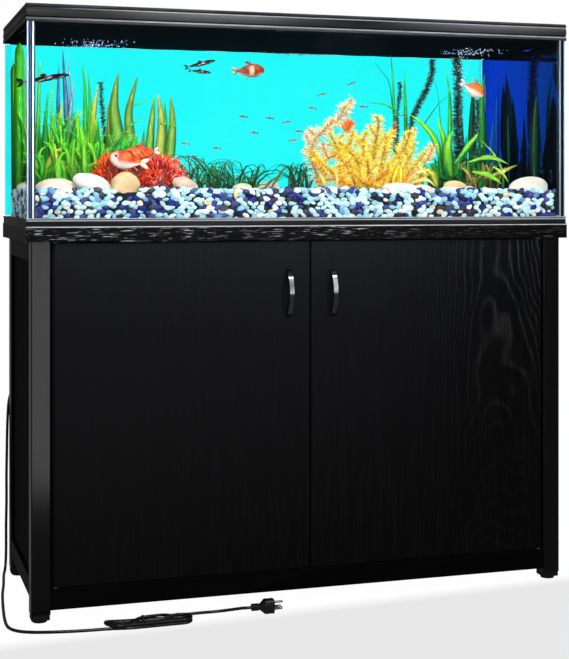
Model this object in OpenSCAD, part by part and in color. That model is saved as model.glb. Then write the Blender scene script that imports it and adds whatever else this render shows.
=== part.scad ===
// Aquarium on a cabinet stand, with its hood, planting, doors and power cord.
// Millimetres, +Z up. The doors face -Y and +X is to the right of somebody facing them.
// The origin is the middle of the footprint at floor level, handles included.

/* [Stand] */
// Width of the board, the tank's plastic frames and the hood
rim_w = 1232; // [1180:1:1290]
// Depth of the board, the tank's plastic frames and the hood
rim_d = 450; // [430:1:480]
// Height of the board's top face
stand_h = 815; // [760:1:860]
// Thickness of the board
board_t = 30; // [24:1:36]
// Overhang of the board past the cabinet, all round
overhang = 13; // [8:1:18]
// Side of a square leg
leg = 40; // [36:1:46]
// Height of a foot glide
foot_h = 17; // [12:1:24]
// Height of a horizontal rail
rail_h = 39; // [34:1:44]
// Thickness of a rail
rail_t = 20; // [18:1:24]

/* [Doors] */
// Thickness of a door
door_t = 18; // [16:1:20]
// Gap between a door and its neighbours
door_gap = 1.5; // [1:0.1:2.5]
// Radius of a pivot pin
pivot_r = 4; // [3:0.5:5]
// How far a bow handle stands out
handle_reach = 28; // [24:1:32]
// Distance between a handle's two feet
handle_pitch = 96; // [80:16:128]
// Height of a handle's middle
handle_z = 671; // [600:1:690]

/* [Tank] */
// Height from the board to the top of the hood
tank_h = 460; // [440:1:480]
// Thickness of the glass
glass_t = 10; // [8:1:12]
// Wall of the plastic frames outside the glass
frame_wall = 4; // [3:0.5:5]
// Height of the bottom frame
bottom_frame_h = 19; // [16:1:24]
// Height of the top frame
top_frame_h = 28; // [24:1:32]
// Height of the hood above the top frame
hood_h = 9; // [9:0.5:11]
// Depth of gravel
gravel_h = 71; // [55:1:80]

/* [Power] */
// Diameter of the power cord
cord_d = 6.5; // [6:0.1:7]
// Height at which the cord leaves the back panel
gland_z = 470; // [440:1:500]
// Height of the tied hank
hank_h = 14; // [13:0.5:20]

/* [Hidden] */

$fn = 48;
left = -1;
right = 1;

// Footprint: the handles are the foremost point and the rim is the rearmost
total_d = rim_d + handle_reach - overhang;
rim_front = total_d / 2 - rim_d;
rim_back = total_d / 2;
rim_x = rim_w / 2;

// Cabinet
body_x = rim_x - overhang;
body_front = rim_front + overhang;
body_back = rim_back - overhang;
bay_x = body_x - leg;
board_under = stand_h - board_t;
kick_z = 26;
kick_h = 45;
rail_low_z = 49;
floor_z = kick_z + kick_h;
floor_t = 15;
rail_low_top = rail_low_z + rail_h;
rail_high_z = board_under - rail_h;
panel_t = 6;
side_panel_inset = 6;
back_panel_y = body_back - panel_t - 3.5;
rear_rail_y = body_back - rail_t;
catch_z = rail_high_z - 14;
top_rail_y = body_front + door_t + 2.5;
divider_t = 16;
port_r = 25;
port_x = 330;
port_z = 520;

// Doors: the hinge edge is a full round about the pivot
pivot_x = bay_x - door_gap - door_t / 2;
pivot_y = body_front + door_t / 2;
pivot_washer = 1.8;
pivot_play = 0.3;
pivot_clear = 0.05;
pivot_depth = 15;
door_low = floor_z + pivot_washer + pivot_play;
door_high = board_under - pivot_washer - pivot_play;
handle_x = 50;
handle_w = 10;
screw_r = 2;
screw_bite = 5;

// Tank
glass_x = rim_x - frame_wall;
glass_front = rim_front + frame_wall;
glass_back = rim_back - frame_wall;
tank_top = stand_h + tank_h;
hood_z = tank_top - hood_h;
top_frame_z = hood_z - top_frame_h;
glass_top = hood_z - 10;
seam = 1;
bead = 5;
film_t = 0.5;
film_cut = 0.5;
inner_x = glass_x - glass_t;
inner_front = glass_front + glass_t;
inner_back = glass_back - glass_t;
gravel_z = stand_h + glass_t + gravel_h;
frame_ledge = 22;

// Hood
deck_t = 3;
hood_lip = 8;
hinge_y = 66;
barrel_r = 2.8;
hinge_pin_r = 1.5;
hinge_z = tank_top - barrel_r;
flap_t = 3;
flap_z = hinge_z - 2.9;
flap_front = rim_front + 17;
flap_edge = 16;
flap_middle = 4;
hinge_ear = 11;
led_y = 120;
led_x = 560;

// Power strip on the back panel, with its rocker at the inner end
strip_x = -556;
strip_l = 300;
strip_h = 50;
strip_t = 38;
strip_front = back_panel_y - strip_t;
switch_x = strip_x + strip_l - 26;
switch_y = strip_front + 5;
switch_tilt = 8;

// Power cord: gland, hanging lead, tied hank, tail and plug
cord_r = cord_d / 2;
gland_x = -541;
gland_l = 25;
gland_end = back_panel_y + panel_t + gland_l;
ring_step = 19;
cord_sides = 10;
lead_route = [
  [-541, 241, 470], [-542, 253, 468], [-549, 263, 460], [-564, 268, 446],
  [-582, 262, 432], [-594, 250, 419], [-601, 239, 402], [-604, 233, 380],
  [-606, 230, 340], [-607, 230, 285], [-608, 229, 225], [-608, 228, 168],
  [-609, 228, 110], [-609, 228, 60], [-610, 225, 28], [-613, 214, 9],
  [-617, 198, 3.4], [-621, 165, 3.3], [-628, 100, 3.3], [-636, 40, 3.3],
  [-642, -20, 3.3], [-648, -95, 3.3], [-652, -160, 3.3], [-652, -205, 3.3],
  [-646, -232, 3.3], [-632, -251, 3.3], [-610, -264, 3.3], [-580, -273, 3.3],
  [-545, -280, 3.3], [-505, -285, 3.3], [-458, -286, 3.4]
];
tail_route = [
  [-340, -248, 9.9], [-327, -242, 7], [-313, -239, 4.2], [-296, -237, 3.3],
  [-275, -236, 3.3], [-252, -235, 3.3], [-228, -236, 3.4], [-207, -240, 5],
  [-188, -249, 8.5], [-173, -261, 13], [-162, -268, 15], [-152, -270, 15.5]
];
hank_a = [-433, -269];
hank_a_r = 31;
hank_b = [-303, -274];
hank_b_r = 23;
tie_x = -380;
plug_at = [-152, -270, 15.5];

// ---------- shared shapes ----------

// A block from its low corner to its high corner
module block(low, high) {
  translate(low) cube(high - low);
}

// A rectangle from the origin with rounded corners
module round_rect(w, h, r) {
  translate([r, 0]) square([w - 2 * r, h]);
  translate([0, r]) square([w, h - 2 * r]);
  for (x = [r, w - r], y = [r, h - r]) translate([x, y]) circle(r, $fn = 24);
}

// A board or bar along X with its long edges eased
module bar_x(low, high, r = 1) {
  translate(low) rotate([90, 0, 90])
    linear_extrude(high.x - low.x) round_rect(high.y - low.y, high.z - low.z, r);
}

// A bar along Y with its long edges eased
module bar_y(low, high, r = 1) {
  translate([low.x, high.y, low.z]) rotate([90, 0, 0])
    linear_extrude(high.y - low.y) round_rect(high.x - low.x, high.z - low.z, r);
}

// A post along Z with its long edges eased
module bar_z(low, high, r = 1) {
  translate(low) linear_extrude(high.z - low.z)
    round_rect(high.x - low.x, high.y - low.y, r);
}

// The children, and their mirror image across the middle of the width
module both_sides() {
  children();
  mirror([1, 0, 0]) children();
}

// The children on one side: they are drawn on the left
module on_side(side) {
  if (side == left) children();
  else mirror([1, 0, 0]) children();
}

// A slab with the outline of the rim, drawn in by inset
module rim_slab(z, h, inset, r = 2) {
  translate([-rim_x + inset, rim_front + inset, z])
    linear_extrude(h) round_rect(rim_w - 2 * inset, rim_d - 2 * inset, r);
}

// Point between b and c on a smooth curve through a, b, c and d
function curve_at(a, b, c, d, t) = 0.5 * (2 * b + (c - a) * t
  + (2 * a - 5 * b + 4 * c - d) * t * t + (3 * b - a - 3 * c + d) * t * t * t);

// A smooth path through every point of a route, with a ring about every step
function smooth_path(route, step) = [
  for (i = [0 : len(route) - 2])
    let (a = route[max(i - 1, 0)], b = route[i], c = route[i + 1],
         d = route[min(i + 2, len(route) - 1)], n = max(1, round(norm(c - b) / step)))
      for (k = [0 : n - 1]) curve_at(a, b, c, d, k / n),
  route[len(route) - 1]
];

// The path lifted wherever it would sink a cord of radius r into the floor
function on_floor(path, r) = [for (p = path) [p.x, p.y, max(p.z, r)]];

function unit(v) = v / norm(v);

// Direction of a path at its point i
function heading(path, i) =
  unit(path[min(i + 1, len(path) - 1)] - path[max(i - 1, 0)]);

// Sideways directions along a path, carried from each point to the next
function sideways(path, i, last) = i == len(path) ? [] :
  let (t = heading(path, i), s = unit(last - (last * t) * t))
    concat([s], sideways(path, i + 1, s));

// A round tube of radius r along a path
module tube(path, r, sides) {
  count = len(path);
  side = sideways(path, 0, [0.3, 0.2, 1]);
  points = [
    for (i = [0 : count - 1], k = [0 : sides - 1])
      let (a = 360 * k / sides, up = cross(heading(path, i), side[i]))
        path[i] + r * (cos(a) * side[i] + sin(a) * up)
  ];
  walls = [
    for (i = [0 : count - 2], k = [0 : sides - 1])
      let (j = (k + 1) % sides, low = i * sides, high = low + sides)
        each [[low + k, high + k, high + j], [low + k, high + j, low + j]]
  ];
  first_cap = [for (k = [0 : sides - 1]) k];
  last_cap = [for (k = [sides - 1 : -1 : 0]) (count - 1) * sides + k];
  polyhedron(points, concat(walls, [first_cap, last_cap]));
}

// ---------- cabinet ----------

module leg_post(side, y) {
  color("#1d1e20") on_side(side)
    bar_z([-body_x, y, foot_h], [-bay_x, y + leg, board_under], 2);
}

module leg_front_left() { leg_post(left, body_front); }
module leg_front_right() { leg_post(right, body_front); }
module leg_back_left() { leg_post(left, body_back - leg); }
module leg_back_right() { leg_post(right, body_back - leg); }

// Plastic glides: a square cap under the leg and a round foot under that
module foot_glides() {
  cap = leg - 2;
  disc_h = 6;
  color("#0c0c0d") both_sides()
    for (y = [body_front, body_back - leg])
      translate([-body_x + leg / 2, y + leg / 2, 0]) {
        translate([-cap / 2, -cap / 2, disc_h]) linear_extrude(foot_h - disc_h) round_rect(cap, cap, 3);
        cylinder(disc_h, cap / 2 - 4, cap / 2 - 2);
      }
}

module side_rails(z) {
  color("#1a1b1d") both_sides()
    bar_y([-body_x, body_front + leg, z], [-body_x + rail_t, body_back - leg, z + rail_h]);
}

module side_rails_upper() { side_rails(rail_high_z); }
module side_rails_lower() { side_rails(rail_low_z); }

module front_rail_lower() {
  color("#141517") bar_x([-bay_x, body_front, kick_z], [bay_x, body_front + rail_t + 2, floor_z]);
}

// Top rail behind the doors, which they close against
module front_rail_upper() {
  color("#141517")
    bar_x([-bay_x, top_rail_y, rail_high_z], [bay_x, top_rail_y + rail_t, board_under]);
}

module back_rail(z) {
  color("#141517") bar_x([-bay_x, rear_rail_y, z], [bay_x, body_back, z + rail_h]);
}

module back_rail_lower() { back_rail(rail_low_z); }
module back_rail_upper() { back_rail(rail_high_z); }

module side_panel(side) {
  outer = -body_x + side_panel_inset;
  color("#0b0b0c") on_side(side)
    block([outer, body_front + leg, rail_low_top], [outer + panel_t, body_back - leg, rail_high_z]);
}

module side_panel_left() { side_panel(left); }
module side_panel_right() { side_panel(right); }

// Back panel with a round port at each side for hoses and leads
module back_panel() {
  color("#0e0e0f") difference() {
    block([-bay_x, back_panel_y, rail_low_top], [bay_x, back_panel_y + panel_t, rail_high_z]);
    both_sides() translate([-port_x, back_panel_y + panel_t + 1, port_z])
      rotate([90, 0, 0]) cylinder(panel_t + 2, r = port_r);
  }
}

// Cabinet floor, notched round the four legs
module cabinet_floor() {
  inner = body_x - rail_t;
  front = body_front + rail_t + 2;
  color("#121314") difference() {
    block([-inner, front, floor_z - floor_t], [inner, rear_rail_y, floor_z]);
    both_sides() {
      block([-body_x, front - 1, 0], [-bay_x, body_front + leg, stand_h]);
      block([-body_x, body_back - leg, 0], [-bay_x, body_back, stand_h]);
    }
  }
}

// Upright between the two bays, from the top rail to the back panel
module centre_divider() {
  half = divider_t / 2;
  front = top_rail_y + rail_t;
  color("#121314") {
    block([-half, front, floor_z], [half, rear_rail_y, board_under]);
    block([-half, rear_rail_y, rail_low_top], [half, back_panel_y, rail_high_z]);
  }
}

module stand_top() {
  color("#17181a")
    bar_x([-rim_x, rim_front, board_under], [rim_x, rim_back, stand_h], 1.5);
}

// Magnetic catches under the top rail, one per door
module magnetic_catches() {
  color("#3a3b3d") both_sides()
    block([-54, top_rail_y - 0.5, catch_z], [-14, top_rail_y + 18, rail_high_z]);
}

// A pivot at the bottom and the top of each door: a washer and a pin
module door_pivot_pins() {
  color("#9a9c9f") both_sides() translate([-pivot_x, pivot_y, 0]) {
    translate([0, 0, floor_z]) {
      cylinder(pivot_washer, r = 2 * pivot_r);
      cylinder(pivot_depth + pivot_washer, r = pivot_r);
    }
    translate([0, 0, board_under - pivot_washer]) cylinder(pivot_washer, r = 2 * pivot_r);
    translate([0, 0, board_under - pivot_washer - pivot_depth])
      cylinder(pivot_depth + pivot_washer, r = pivot_r);
  }
}

// ---------- doors ----------

// Door panel, with pivot bores in its round hinge edge and holes for the handle's screws
module door(side) {
  bore_r = pivot_r + pivot_clear;
  bore_l = pivot_depth + 1;
  free_x = -door_gap;
  ease = 1.5;
  color("#0d0d0e") on_side(side) difference() {
    translate([0, 0, door_low]) linear_extrude(door_high - door_low) {
      translate([-pivot_x, pivot_y]) circle(door_t / 2);
      translate([-pivot_x, body_front]) square([pivot_x + free_x - ease, door_t]);
      translate([free_x - 10, body_front]) round_rect(10, door_t, ease);
    }
    for (z = [door_low - 1, door_high - bore_l])
      translate([-pivot_x, pivot_y, z]) cylinder(bore_l + 1, r = bore_r);
    for (z = [-1, 1])
      translate([-handle_x, body_front + door_t + 1, handle_z + z * handle_pitch / 2])
        rotate([90, 0, 0]) cylinder(door_t + 2, r = screw_r + 0.25);
  }
}

module door_left() { door(left); }
module door_right() { door(right); }

// Bow handle: a crescent between two arcs, standing on the door's face
module handle(side) {
  outer_half = handle_pitch / 2 + 6;
  inner_half = handle_pitch / 2 - 6;
  inner_reach = handle_reach - 9;
  outer_r = (outer_half * outer_half + handle_reach * handle_reach) / (2 * handle_reach);
  inner_r = (inner_half * inner_half + inner_reach * inner_reach) / (2 * inner_reach);
  color("#2a2b2d") on_side(side) difference() {
    translate([-handle_x - handle_w / 2, body_front, handle_z]) rotate([90, 0, 90])
      linear_extrude(handle_w) difference() {
        translate([outer_r - handle_reach, 0]) circle(outer_r, $fn = 96);
        translate([inner_r - inner_reach, 0]) circle(inner_r, $fn = 96);
        translate([0, -outer_r]) square(2 * outer_r);
      }
    for (z = [-1, 1])
      translate([-handle_x, body_front + 1, handle_z + z * handle_pitch / 2])
        rotate([90, 0, 0]) cylinder(screw_bite + 1, r = screw_r);
  }
}

module handle_left() { handle(left); }
module handle_right() { handle(right); }

// Two screws through the door into the handle's feet
module handle_screws(side) {
  head_h = 2.5;
  color("#8d8f92") on_side(side) for (z = [-1, 1])
    translate([-handle_x, body_front + door_t, handle_z + z * handle_pitch / 2])
      rotate([90, 0, 0]) {
        translate([0, 0, -head_h]) cylinder(head_h, r = 4.5);
        cylinder(door_t + screw_bite, r = screw_r);
      }
}

module handle_screws_left() { handle_screws(left); }
module handle_screws_right() { handle_screws(right); }

// Steel plate on the back of a door, facing its magnetic catch
module strike_plate(side) {
  back = body_front + door_t;
  color("#a5a7aa") on_side(side) block([-54, back, catch_z], [-14, back + 1.5, rail_high_z]);
}

module strike_plate_left() { strike_plate(left); }
module strike_plate_right() { strike_plate(right); }

// ---------- power strip ----------

// Strip with six sockets, a pocket for the rocker and holes for its axle
module power_strip() {
  sockets = 6;
  pitch = 39;
  slot_deep = 12;
  color("#1b1c1e") difference() {
    bar_x([strip_x, strip_front, gland_z - strip_h / 2],
          [strip_x + strip_l, back_panel_y, gland_z + strip_h / 2], 4);
    for (i = [0 : sockets - 1]) translate([strip_x + 30 + pitch * i, strip_front - 1, gland_z]) {
      for (x = [-7.5, 6]) translate([x, 0, 0]) cube([1.6, slot_deep, 8]);
      translate([-2, 0, -10]) cube([4, slot_deep, 4]);
    }
    block([switch_x - 12, strip_front - 1, gland_z - 7.6],
          [switch_x + 12, switch_y + 7, gland_z + 7.6]);
    translate([switch_x, switch_y, gland_z - 10.5]) cylinder(21, r = 1.55);
  }
}

// Rocker: two faces that meet over the axle, drawn tipped to its off side
module power_switch() {
  color("#c0271c") translate([switch_x, switch_y, gland_z]) rotate([0, 0, switch_tilt]) {
    translate([0, 0, -7.2]) linear_extrude(14.4)
      polygon([[-10, -7.4], [0, -5.8], [10, -7.4], [10, -3], [5, 4], [-5, 4], [-10, -3]]);
    translate([0, 0, -10]) cylinder(20, r = 1.5);
  }
}

// ---------- tank ----------

// Bottom frame: a recessed band between a bead and a lip, round the foot of the glass
module tank_bottom_frame() {
  lip = 3;
  bead_h = 2;
  color("#101114") difference() {
    union() {
      rim_slab(stand_h, lip, 0);
      rim_slab(stand_h + lip, bottom_frame_h - lip - bead_h, 1.5);
      rim_slab(stand_h + bottom_frame_h - bead_h, bead_h, 0);
    }
    block([-glass_x, glass_front, stand_h - 1], [glass_x, glass_back, stand_h + bottom_frame_h + 1]);
  }
}

// Base pane, laid between the four walls
module tank_base_glass() {
  color("#9fd6d8", 0.35)
    block([-inner_x, inner_front, stand_h], [inner_x, inner_back, stand_h + glass_t]);
}

module long_pane(y) {
  color("#a9dde0", 0.3) block([-glass_x, y, stand_h], [glass_x, y + glass_t, glass_top]);
}

module tank_front_glass() { long_pane(glass_front); }
module tank_back_glass() { long_pane(inner_back); }

module end_pane(side) {
  color("#a9dde0", 0.3) on_side(side)
    block([-glass_x, inner_front + seam, stand_h], [-inner_x, inner_back - seam, glass_top]);
}

module tank_left_glass() { end_pane(left); }
module tank_right_glass() { end_pane(right); }

// A silicone joint at each corner: a strip between the panes and a bead inside
module silicone_seams() {
  color("#20242a") both_sides() for (front = [true, false]) {
    y = front ? inner_front : inner_back;
    dir = front ? 1 : -1;
    translate([0, 0, stand_h + glass_t]) linear_extrude(glass_top - stand_h - glass_t) {
      translate([-glass_x, front ? y : y - seam]) square([glass_t, seam]);
      polygon([[-inner_x, y], [-inner_x + bead, y], [-inner_x, y + dir * bead]]);
    }
  }
}

// Top frame: a stepped outside and a channel that holds the top of the glass
module tank_top_frame() {
  lip_h = 8;
  color("#1c1d1f") difference() {
    union() {
      rim_slab(top_frame_z, lip_h, 0);
      hull() {
        rim_slab(top_frame_z + lip_h, 0.1, 2.5);
        rim_slab(top_frame_z + lip_h + 4, 12, 0.3);
        rim_slab(hood_z - 0.1, 0.1, 2);
      }
    }
    block([-rim_x + frame_ledge, rim_front + frame_ledge, top_frame_z - 1],
          [rim_x - frame_ledge, rim_back - frame_ledge, hood_z + 1]);
    difference() {
      block([-glass_x, glass_front, top_frame_z - 1], [glass_x, glass_back, glass_top]);
      block([-inner_x + bead, inner_front + bead, top_frame_z + lip_h],
            [inner_x - bead, inner_back - bead, glass_top]);
    }
  }
}

// Blue film on the outside of the back pane
module background_film() {
  color("#12d4e8") block([-glass_x + film_cut, glass_back, stand_h + bottom_frame_h + 2],
                         [glass_x - film_cut, glass_back + film_t, top_frame_z - 2]);
}

// Dark blue mirror film on the outside of the right pane
module side_film() {
  color("#1230a8") block([glass_x, glass_front + film_cut, stand_h + bottom_frame_h + 2],
                         [glass_x + film_t, glass_back - film_cut, top_frame_z - 2]);
}

// ---------- planting ----------

// Gravel, with its corners cut back from the silicone beads
module gravel_bed() {
  cut = bead + 1;
  color("#a9c4d8") translate([0, 0, stand_h + glass_t]) linear_extrude(gravel_h)
    polygon([
      [-inner_x + cut, inner_front], [inner_x - cut, inner_front],
      [inner_x, inner_front + cut], [inner_x, inner_back - cut],
      [inner_x - cut, inner_back], [-inner_x + cut, inner_back],
      [-inner_x, inner_back - cut], [-inner_x, inner_front + cut]
    ]);
}

// A rounded lump with a flat underside, resting on the gravel
module lump(x, y, size) {
  translate([x, y, gravel_z]) intersection() {
    scale([size.x, size.y, size.z]) sphere(1, $fn = 20);
    block([-size.x, -size.y, 0], [size.x, size.y, size.z]);
  }
}

module river_stones() {
  color("#e3ddcb") {
    lump(-528, -96, [46, 30, 26]);
    lump(-451, -126, [34, 28, 36]);
    lump(-404, -176, [31, 24, 36]);
    lump(-252, -84, [27, 22, 24]);
    lump(-102, -20, [22, 16, 13]);
    lump(-16, 84, [28, 18, 15]);
    lump(248, -120, [42, 24, 14]);
    lump(416, -44, [30, 20, 22]);
    lump(544, -165, [50, 24, 30]);
  }
}

module coral_red() {
  color("#d4341c") {
    lump(-396, -16, [60, 38, 98]);
    lump(-286, -14, [54, 38, 92]);
  }
}

module coral_yellow() {
  color("#e6a93a") {
    lump(152, 20, [84, 46, 216]);
    lump(244, 14, [80, 46, 186]);
    lump(332, 8, [54, 40, 120]);
  }
}

// A flat leaf standing on its base, widest just below the middle
module leaf(w, h) {
  leaf_t = 2.4;
  rotate([90, 0, 0]) translate([0, 0, -leaf_t / 2]) linear_extrude(leaf_t)
    polygon([[-w / 4, 0], [w / 4, 0], [w / 2, h * 0.42], [w * 0.3, h * 0.8], [0, h],
             [-w * 0.3, h * 0.8], [-w / 2, h * 0.42]]);
}

// Leaves that lean out from one weighted root, cut level with the gravel
module tuft(x, y, leaves, w, h, lean, spread = 9) {
  translate([x, y, gravel_z]) cylinder(5, spread + 3, spread);
  translate([x, y, gravel_z]) difference() {
    for (i = [0 : leaves - 1]) {
      turn = 137.5 * i;
      tall = h * (1 - 0.35 * ((i * 5) % leaves) / leaves);
      rotate([0, 0, turn]) translate([0, spread * (0.3 + i / leaves), -6])
        rotate([-lean * (i + 1) / leaves, 0, 0]) leaf(w, tall + 6);
    }
    translate([0, 0, -20]) cube([2 * h, 2 * h, 40], center = true);
  }
}

module plants_left() {
  color("#3f9e2c") {
    for (x = [-556 : 24 : -500]) tuft(x, 130, 4, 15, 322, 7);
    for (x = [-440 : 38 : -250]) tuft(x, 128, 4, 14, 262, 9);
    for (x = [-480 : 44 : -392]) tuft(x, 62, 7, 12, 132, 26);
  }
}

module plants_centre() {
  color("#2f7a33") {
    for (x = [-206 : 44 : -30]) tuft(x, 36, 7, 7, 84, 34);
    tuft(34, 30, 7, 7, 62, 34);
  }
}

module plants_right() {
  color("#357f2d") {
    for (x = [326 : 36 : 542]) tuft(x, 160, 4, 14, 326, 6);
    for (x = [450 : 32 : 546]) tuft(x, 56, 7, 13, 150, 16);
  }
}

// ---------- hood ----------

// Lid frame: a deck with two flap windows, rear notches, a raised edge and hinge ears
module hood_frame() {
  window_front = flap_front + 8;
  window_back = hinge_y - 10;
  color("#151618") {
    difference() {
      union() {
        rim_slab(hood_z, hood_h - 2, 0.6);
        rim_slab(hood_z, hood_h, 1.6);
      }
      block([-rim_x + hood_lip, rim_front + hood_lip, hood_z + deck_t],
            [rim_x - hood_lip, rim_back - hood_lip, tank_top + 1]);
      both_sides() {
        block([-rim_x + 26, window_front, hood_z - 1], [-flap_middle - 8, window_back, tank_top]);
        block([-rim_x + 30, 178, hood_z - 1], [-rim_x + 180, 206, tank_top]);
      }
    }
    both_sides() for (x = [-rim_x + 19, -flap_middle - 2 - hinge_ear])
      difference() {
        block([x, hinge_y - 3, hood_z + deck_t], [x + hinge_ear, hinge_y + 3, tank_top]);
        translate([x - 1, hinge_y, hinge_z]) rotate([0, 90, 0]) cylinder(hinge_ear + 2, r = hinge_pin_r);
      }
  }
}

// A hinge pin along the back of each flap
module hood_hinge_pins() {
  low = -rim_x + 19;
  color("#9a9c9f") both_sides() translate([low, hinge_y, hinge_z])
    rotate([0, 90, 0]) cylinder(-flap_middle - 2 - low, r = hinge_pin_r);
}

// Flap: a plate with a finger grip in front and a barrel on the hinge pin behind
module hood_flap(side) {
  plate_back = hinge_y - 6;
  barrel_low = -rim_x + 19 + hinge_ear + 1;
  barrel_high = -flap_middle - 2 - hinge_ear - 1;
  color("#1d1e20") on_side(side) difference() {
    union() {
      block([-rim_x + flap_edge, flap_front, flap_z], [-flap_middle, plate_back, flap_z + flap_t]);
      block([barrel_low, plate_back, flap_z], [barrel_high, hinge_y, flap_z + flap_t]);
      translate([barrel_low, hinge_y, hinge_z]) rotate([0, 90, 0])
        cylinder(barrel_high - barrel_low, r = barrel_r);
      block([-345, flap_front, flap_z], [-275, flap_front + 8, tank_top]);
    }
    translate([barrel_low - 1, hinge_y, hinge_z]) rotate([0, 90, 0])
      cylinder(barrel_high - barrel_low + 2, r = hinge_pin_r + 0.05);
  }
}

module hood_flap_left() { hood_flap(left); }
module hood_flap_right() { hood_flap(right); }

// Lamp housing under the deck, open below
module led_housing() {
  lamp_h = 16;
  color("#1a1b1d") difference() {
    block([-led_x, led_y - 35, hood_z - lamp_h], [led_x, led_y + 35, hood_z]);
    block([-led_x + 12, led_y - 28, hood_z - lamp_h - 1], [led_x - 12, led_y + 28, hood_z - lamp_h + 6]);
  }
}

module led_lens() {
  color("#f4f7ff") block([-led_x + 12, led_y - 28, hood_z - 13], [led_x - 12, led_y + 28, hood_z - 10]);
}

// ---------- power cord ----------

// Strain relief on the back panel, tapering down to the cord
module cord_gland() {
  color("#18191b") translate([gland_x, back_panel_y + panel_t, gland_z]) rotate([-90, 0, 0])
    rotate_extrude() polygon([[0, 0], [14, 0], [14, 4], [9, 4], [8, 7], [5, gland_l], [0, gland_l]]);
}

module power_cord() {
  color("#0a0a0b") tube(on_floor(smooth_path(lead_route, ring_step), cord_r), cord_r, cord_sides);
}

module cord_tail() {
  color("#0a0a0b") tube(smooth_path(tail_route, ring_step), cord_r, cord_sides);
}

module hank_outline() {
  hull() {
    translate(hank_a) circle(hank_a_r, $fn = 32);
    translate(hank_b) circle(hank_b_r, $fn = 32);
  }
}

module cord_hank() {
  color("#0a0a0b") linear_extrude(hank_h) hank_outline();
}

// Wire tie bent over the hank
module cord_tie() {
  color("#0d0d0e") difference() {
    translate([tie_x, hank_a.y - hank_a_r - 1.5, 0]) cube([6, 2 * hank_a_r + 3, hank_h + 1.5]);
    translate([0, 0, -1]) linear_extrude(hank_h + 1) hank_outline();
  }
}

// Moulded plug: a ribbed neck that flares into the head
module plug_body() {
  neck_l = 16;
  flare_l = 11;
  head_l = 21;
  head_w = 26;
  head_h = 2 * plug_at.z;
  color("#0d0d0e") translate(plug_at) {
    rotate([0, 90, 0]) rotate_extrude()
      polygon([[0, 0], [7, 0], [8.6, 2], [7, 4], [8.6, 6], [7, 8], [8.6, 10], [7, 12], [8.8, neck_l], [0, neck_l]]);
    hull() {
      translate([neck_l, 0, 0]) rotate([0, 90, 0]) cylinder(0.1, r = 8.8, $fn = 32);
      translate([neck_l + flare_l, head_w / 2, -head_h / 2]) rotate([90, 0, 0])
        linear_extrude(head_w) round_rect(head_l, head_h, 3);
    }
  }
}

// Two flat blades with a hole near the tip, and a round earth pin above them
module plug_blades() {
  face = plug_at.x + 48;
  blade_l = 18;
  color("#b9a46a") {
    for (y = [-6.35, 6.35]) difference() {
      translate([face, plug_at.y + y - 0.75, plug_at.z - 7.2]) cube([blade_l, 1.5, 6.4]);
      translate([face + 14, plug_at.y + y + 2, plug_at.z - 4]) rotate([90, 0, 0]) cylinder(4, r = 1.6);
    }
    translate([face, plug_at.y, plug_at.z + 7.5]) rotate([0, 90, 0]) {
      cylinder(18.6, r = 2.4);
      translate([0, 0, 18.6]) sphere(2.4);
    }
  }
}

leg_front_left();
leg_front_right();
leg_back_left();
leg_back_right();
foot_glides();
side_rails_upper();
side_rails_lower();
front_rail_lower();
front_rail_upper();
back_rail_lower();
back_rail_upper();
side_panel_left();
side_panel_right();
back_panel();
cabinet_floor();
centre_divider();
stand_top();
magnetic_catches();
door_pivot_pins();
power_strip();
tank_bottom_frame();
tank_base_glass();
tank_front_glass();
tank_back_glass();
tank_left_glass();
tank_right_glass();
silicone_seams();
tank_top_frame();
background_film();
side_film();
gravel_bed();
river_stones();
coral_red();
coral_yellow();
plants_left();
plants_centre();
plants_right();
hood_frame();
led_housing();
led_lens();
hood_hinge_pins();
cord_gland();
power_cord();
cord_hank();
cord_tail();
cord_tie();
plug_body();
plug_blades();
door_left();
door_right();
handle_left();
handle_right();
handle_screws_left();
handle_screws_right();
strike_plate_left();
strike_plate_right();
hood_flap_left();
hood_flap_right();
power_switch();
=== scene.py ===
"""Looks for the aquarium on its stand: camera, cord, materials and the planted tank."""
import math
import random

import bmesh
import bpy
import numpy as np
from mathutils import Matrix, Vector


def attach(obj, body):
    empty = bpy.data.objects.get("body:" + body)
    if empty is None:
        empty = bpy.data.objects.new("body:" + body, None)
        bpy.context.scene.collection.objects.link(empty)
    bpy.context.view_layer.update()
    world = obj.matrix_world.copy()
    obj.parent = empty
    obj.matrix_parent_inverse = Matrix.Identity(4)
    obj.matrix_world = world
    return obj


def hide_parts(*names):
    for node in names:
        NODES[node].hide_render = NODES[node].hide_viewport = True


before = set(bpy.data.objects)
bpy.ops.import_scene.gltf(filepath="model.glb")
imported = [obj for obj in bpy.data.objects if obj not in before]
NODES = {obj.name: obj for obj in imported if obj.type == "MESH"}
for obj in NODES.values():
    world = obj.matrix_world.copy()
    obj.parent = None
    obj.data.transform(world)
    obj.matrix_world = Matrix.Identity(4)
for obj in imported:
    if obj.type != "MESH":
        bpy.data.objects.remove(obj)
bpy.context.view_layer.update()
SCENE = bpy.context.scene
MM = 0.001


def mm(points):
    """Millimetres to metres."""
    return [tuple(v * MM for v in p) for p in points]


# ---------- camera ----------

CAMERA_AT = (-0.9529, -3.1063, 0.8735)
CAMERA_YAW = -17.12
camera_data = bpy.data.cameras.new("camera")
camera_data.sensor_width = 36.0
camera_data.lens = 76.59
camera_data.shift_y = -0.1977
camera_data.clip_end = 60.0
camera = bpy.data.objects.new("camera", camera_data)
camera.location = CAMERA_AT
camera.rotation_euler = (math.radians(90), 0, math.radians(CAMERA_YAW))
SCENE.collection.objects.link(camera)
SCENE.camera = camera

# ---------- mesh helpers ----------


def link(obj):
    SCENE.collection.objects.link(obj)
    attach(obj, "stand")
    return obj


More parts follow.
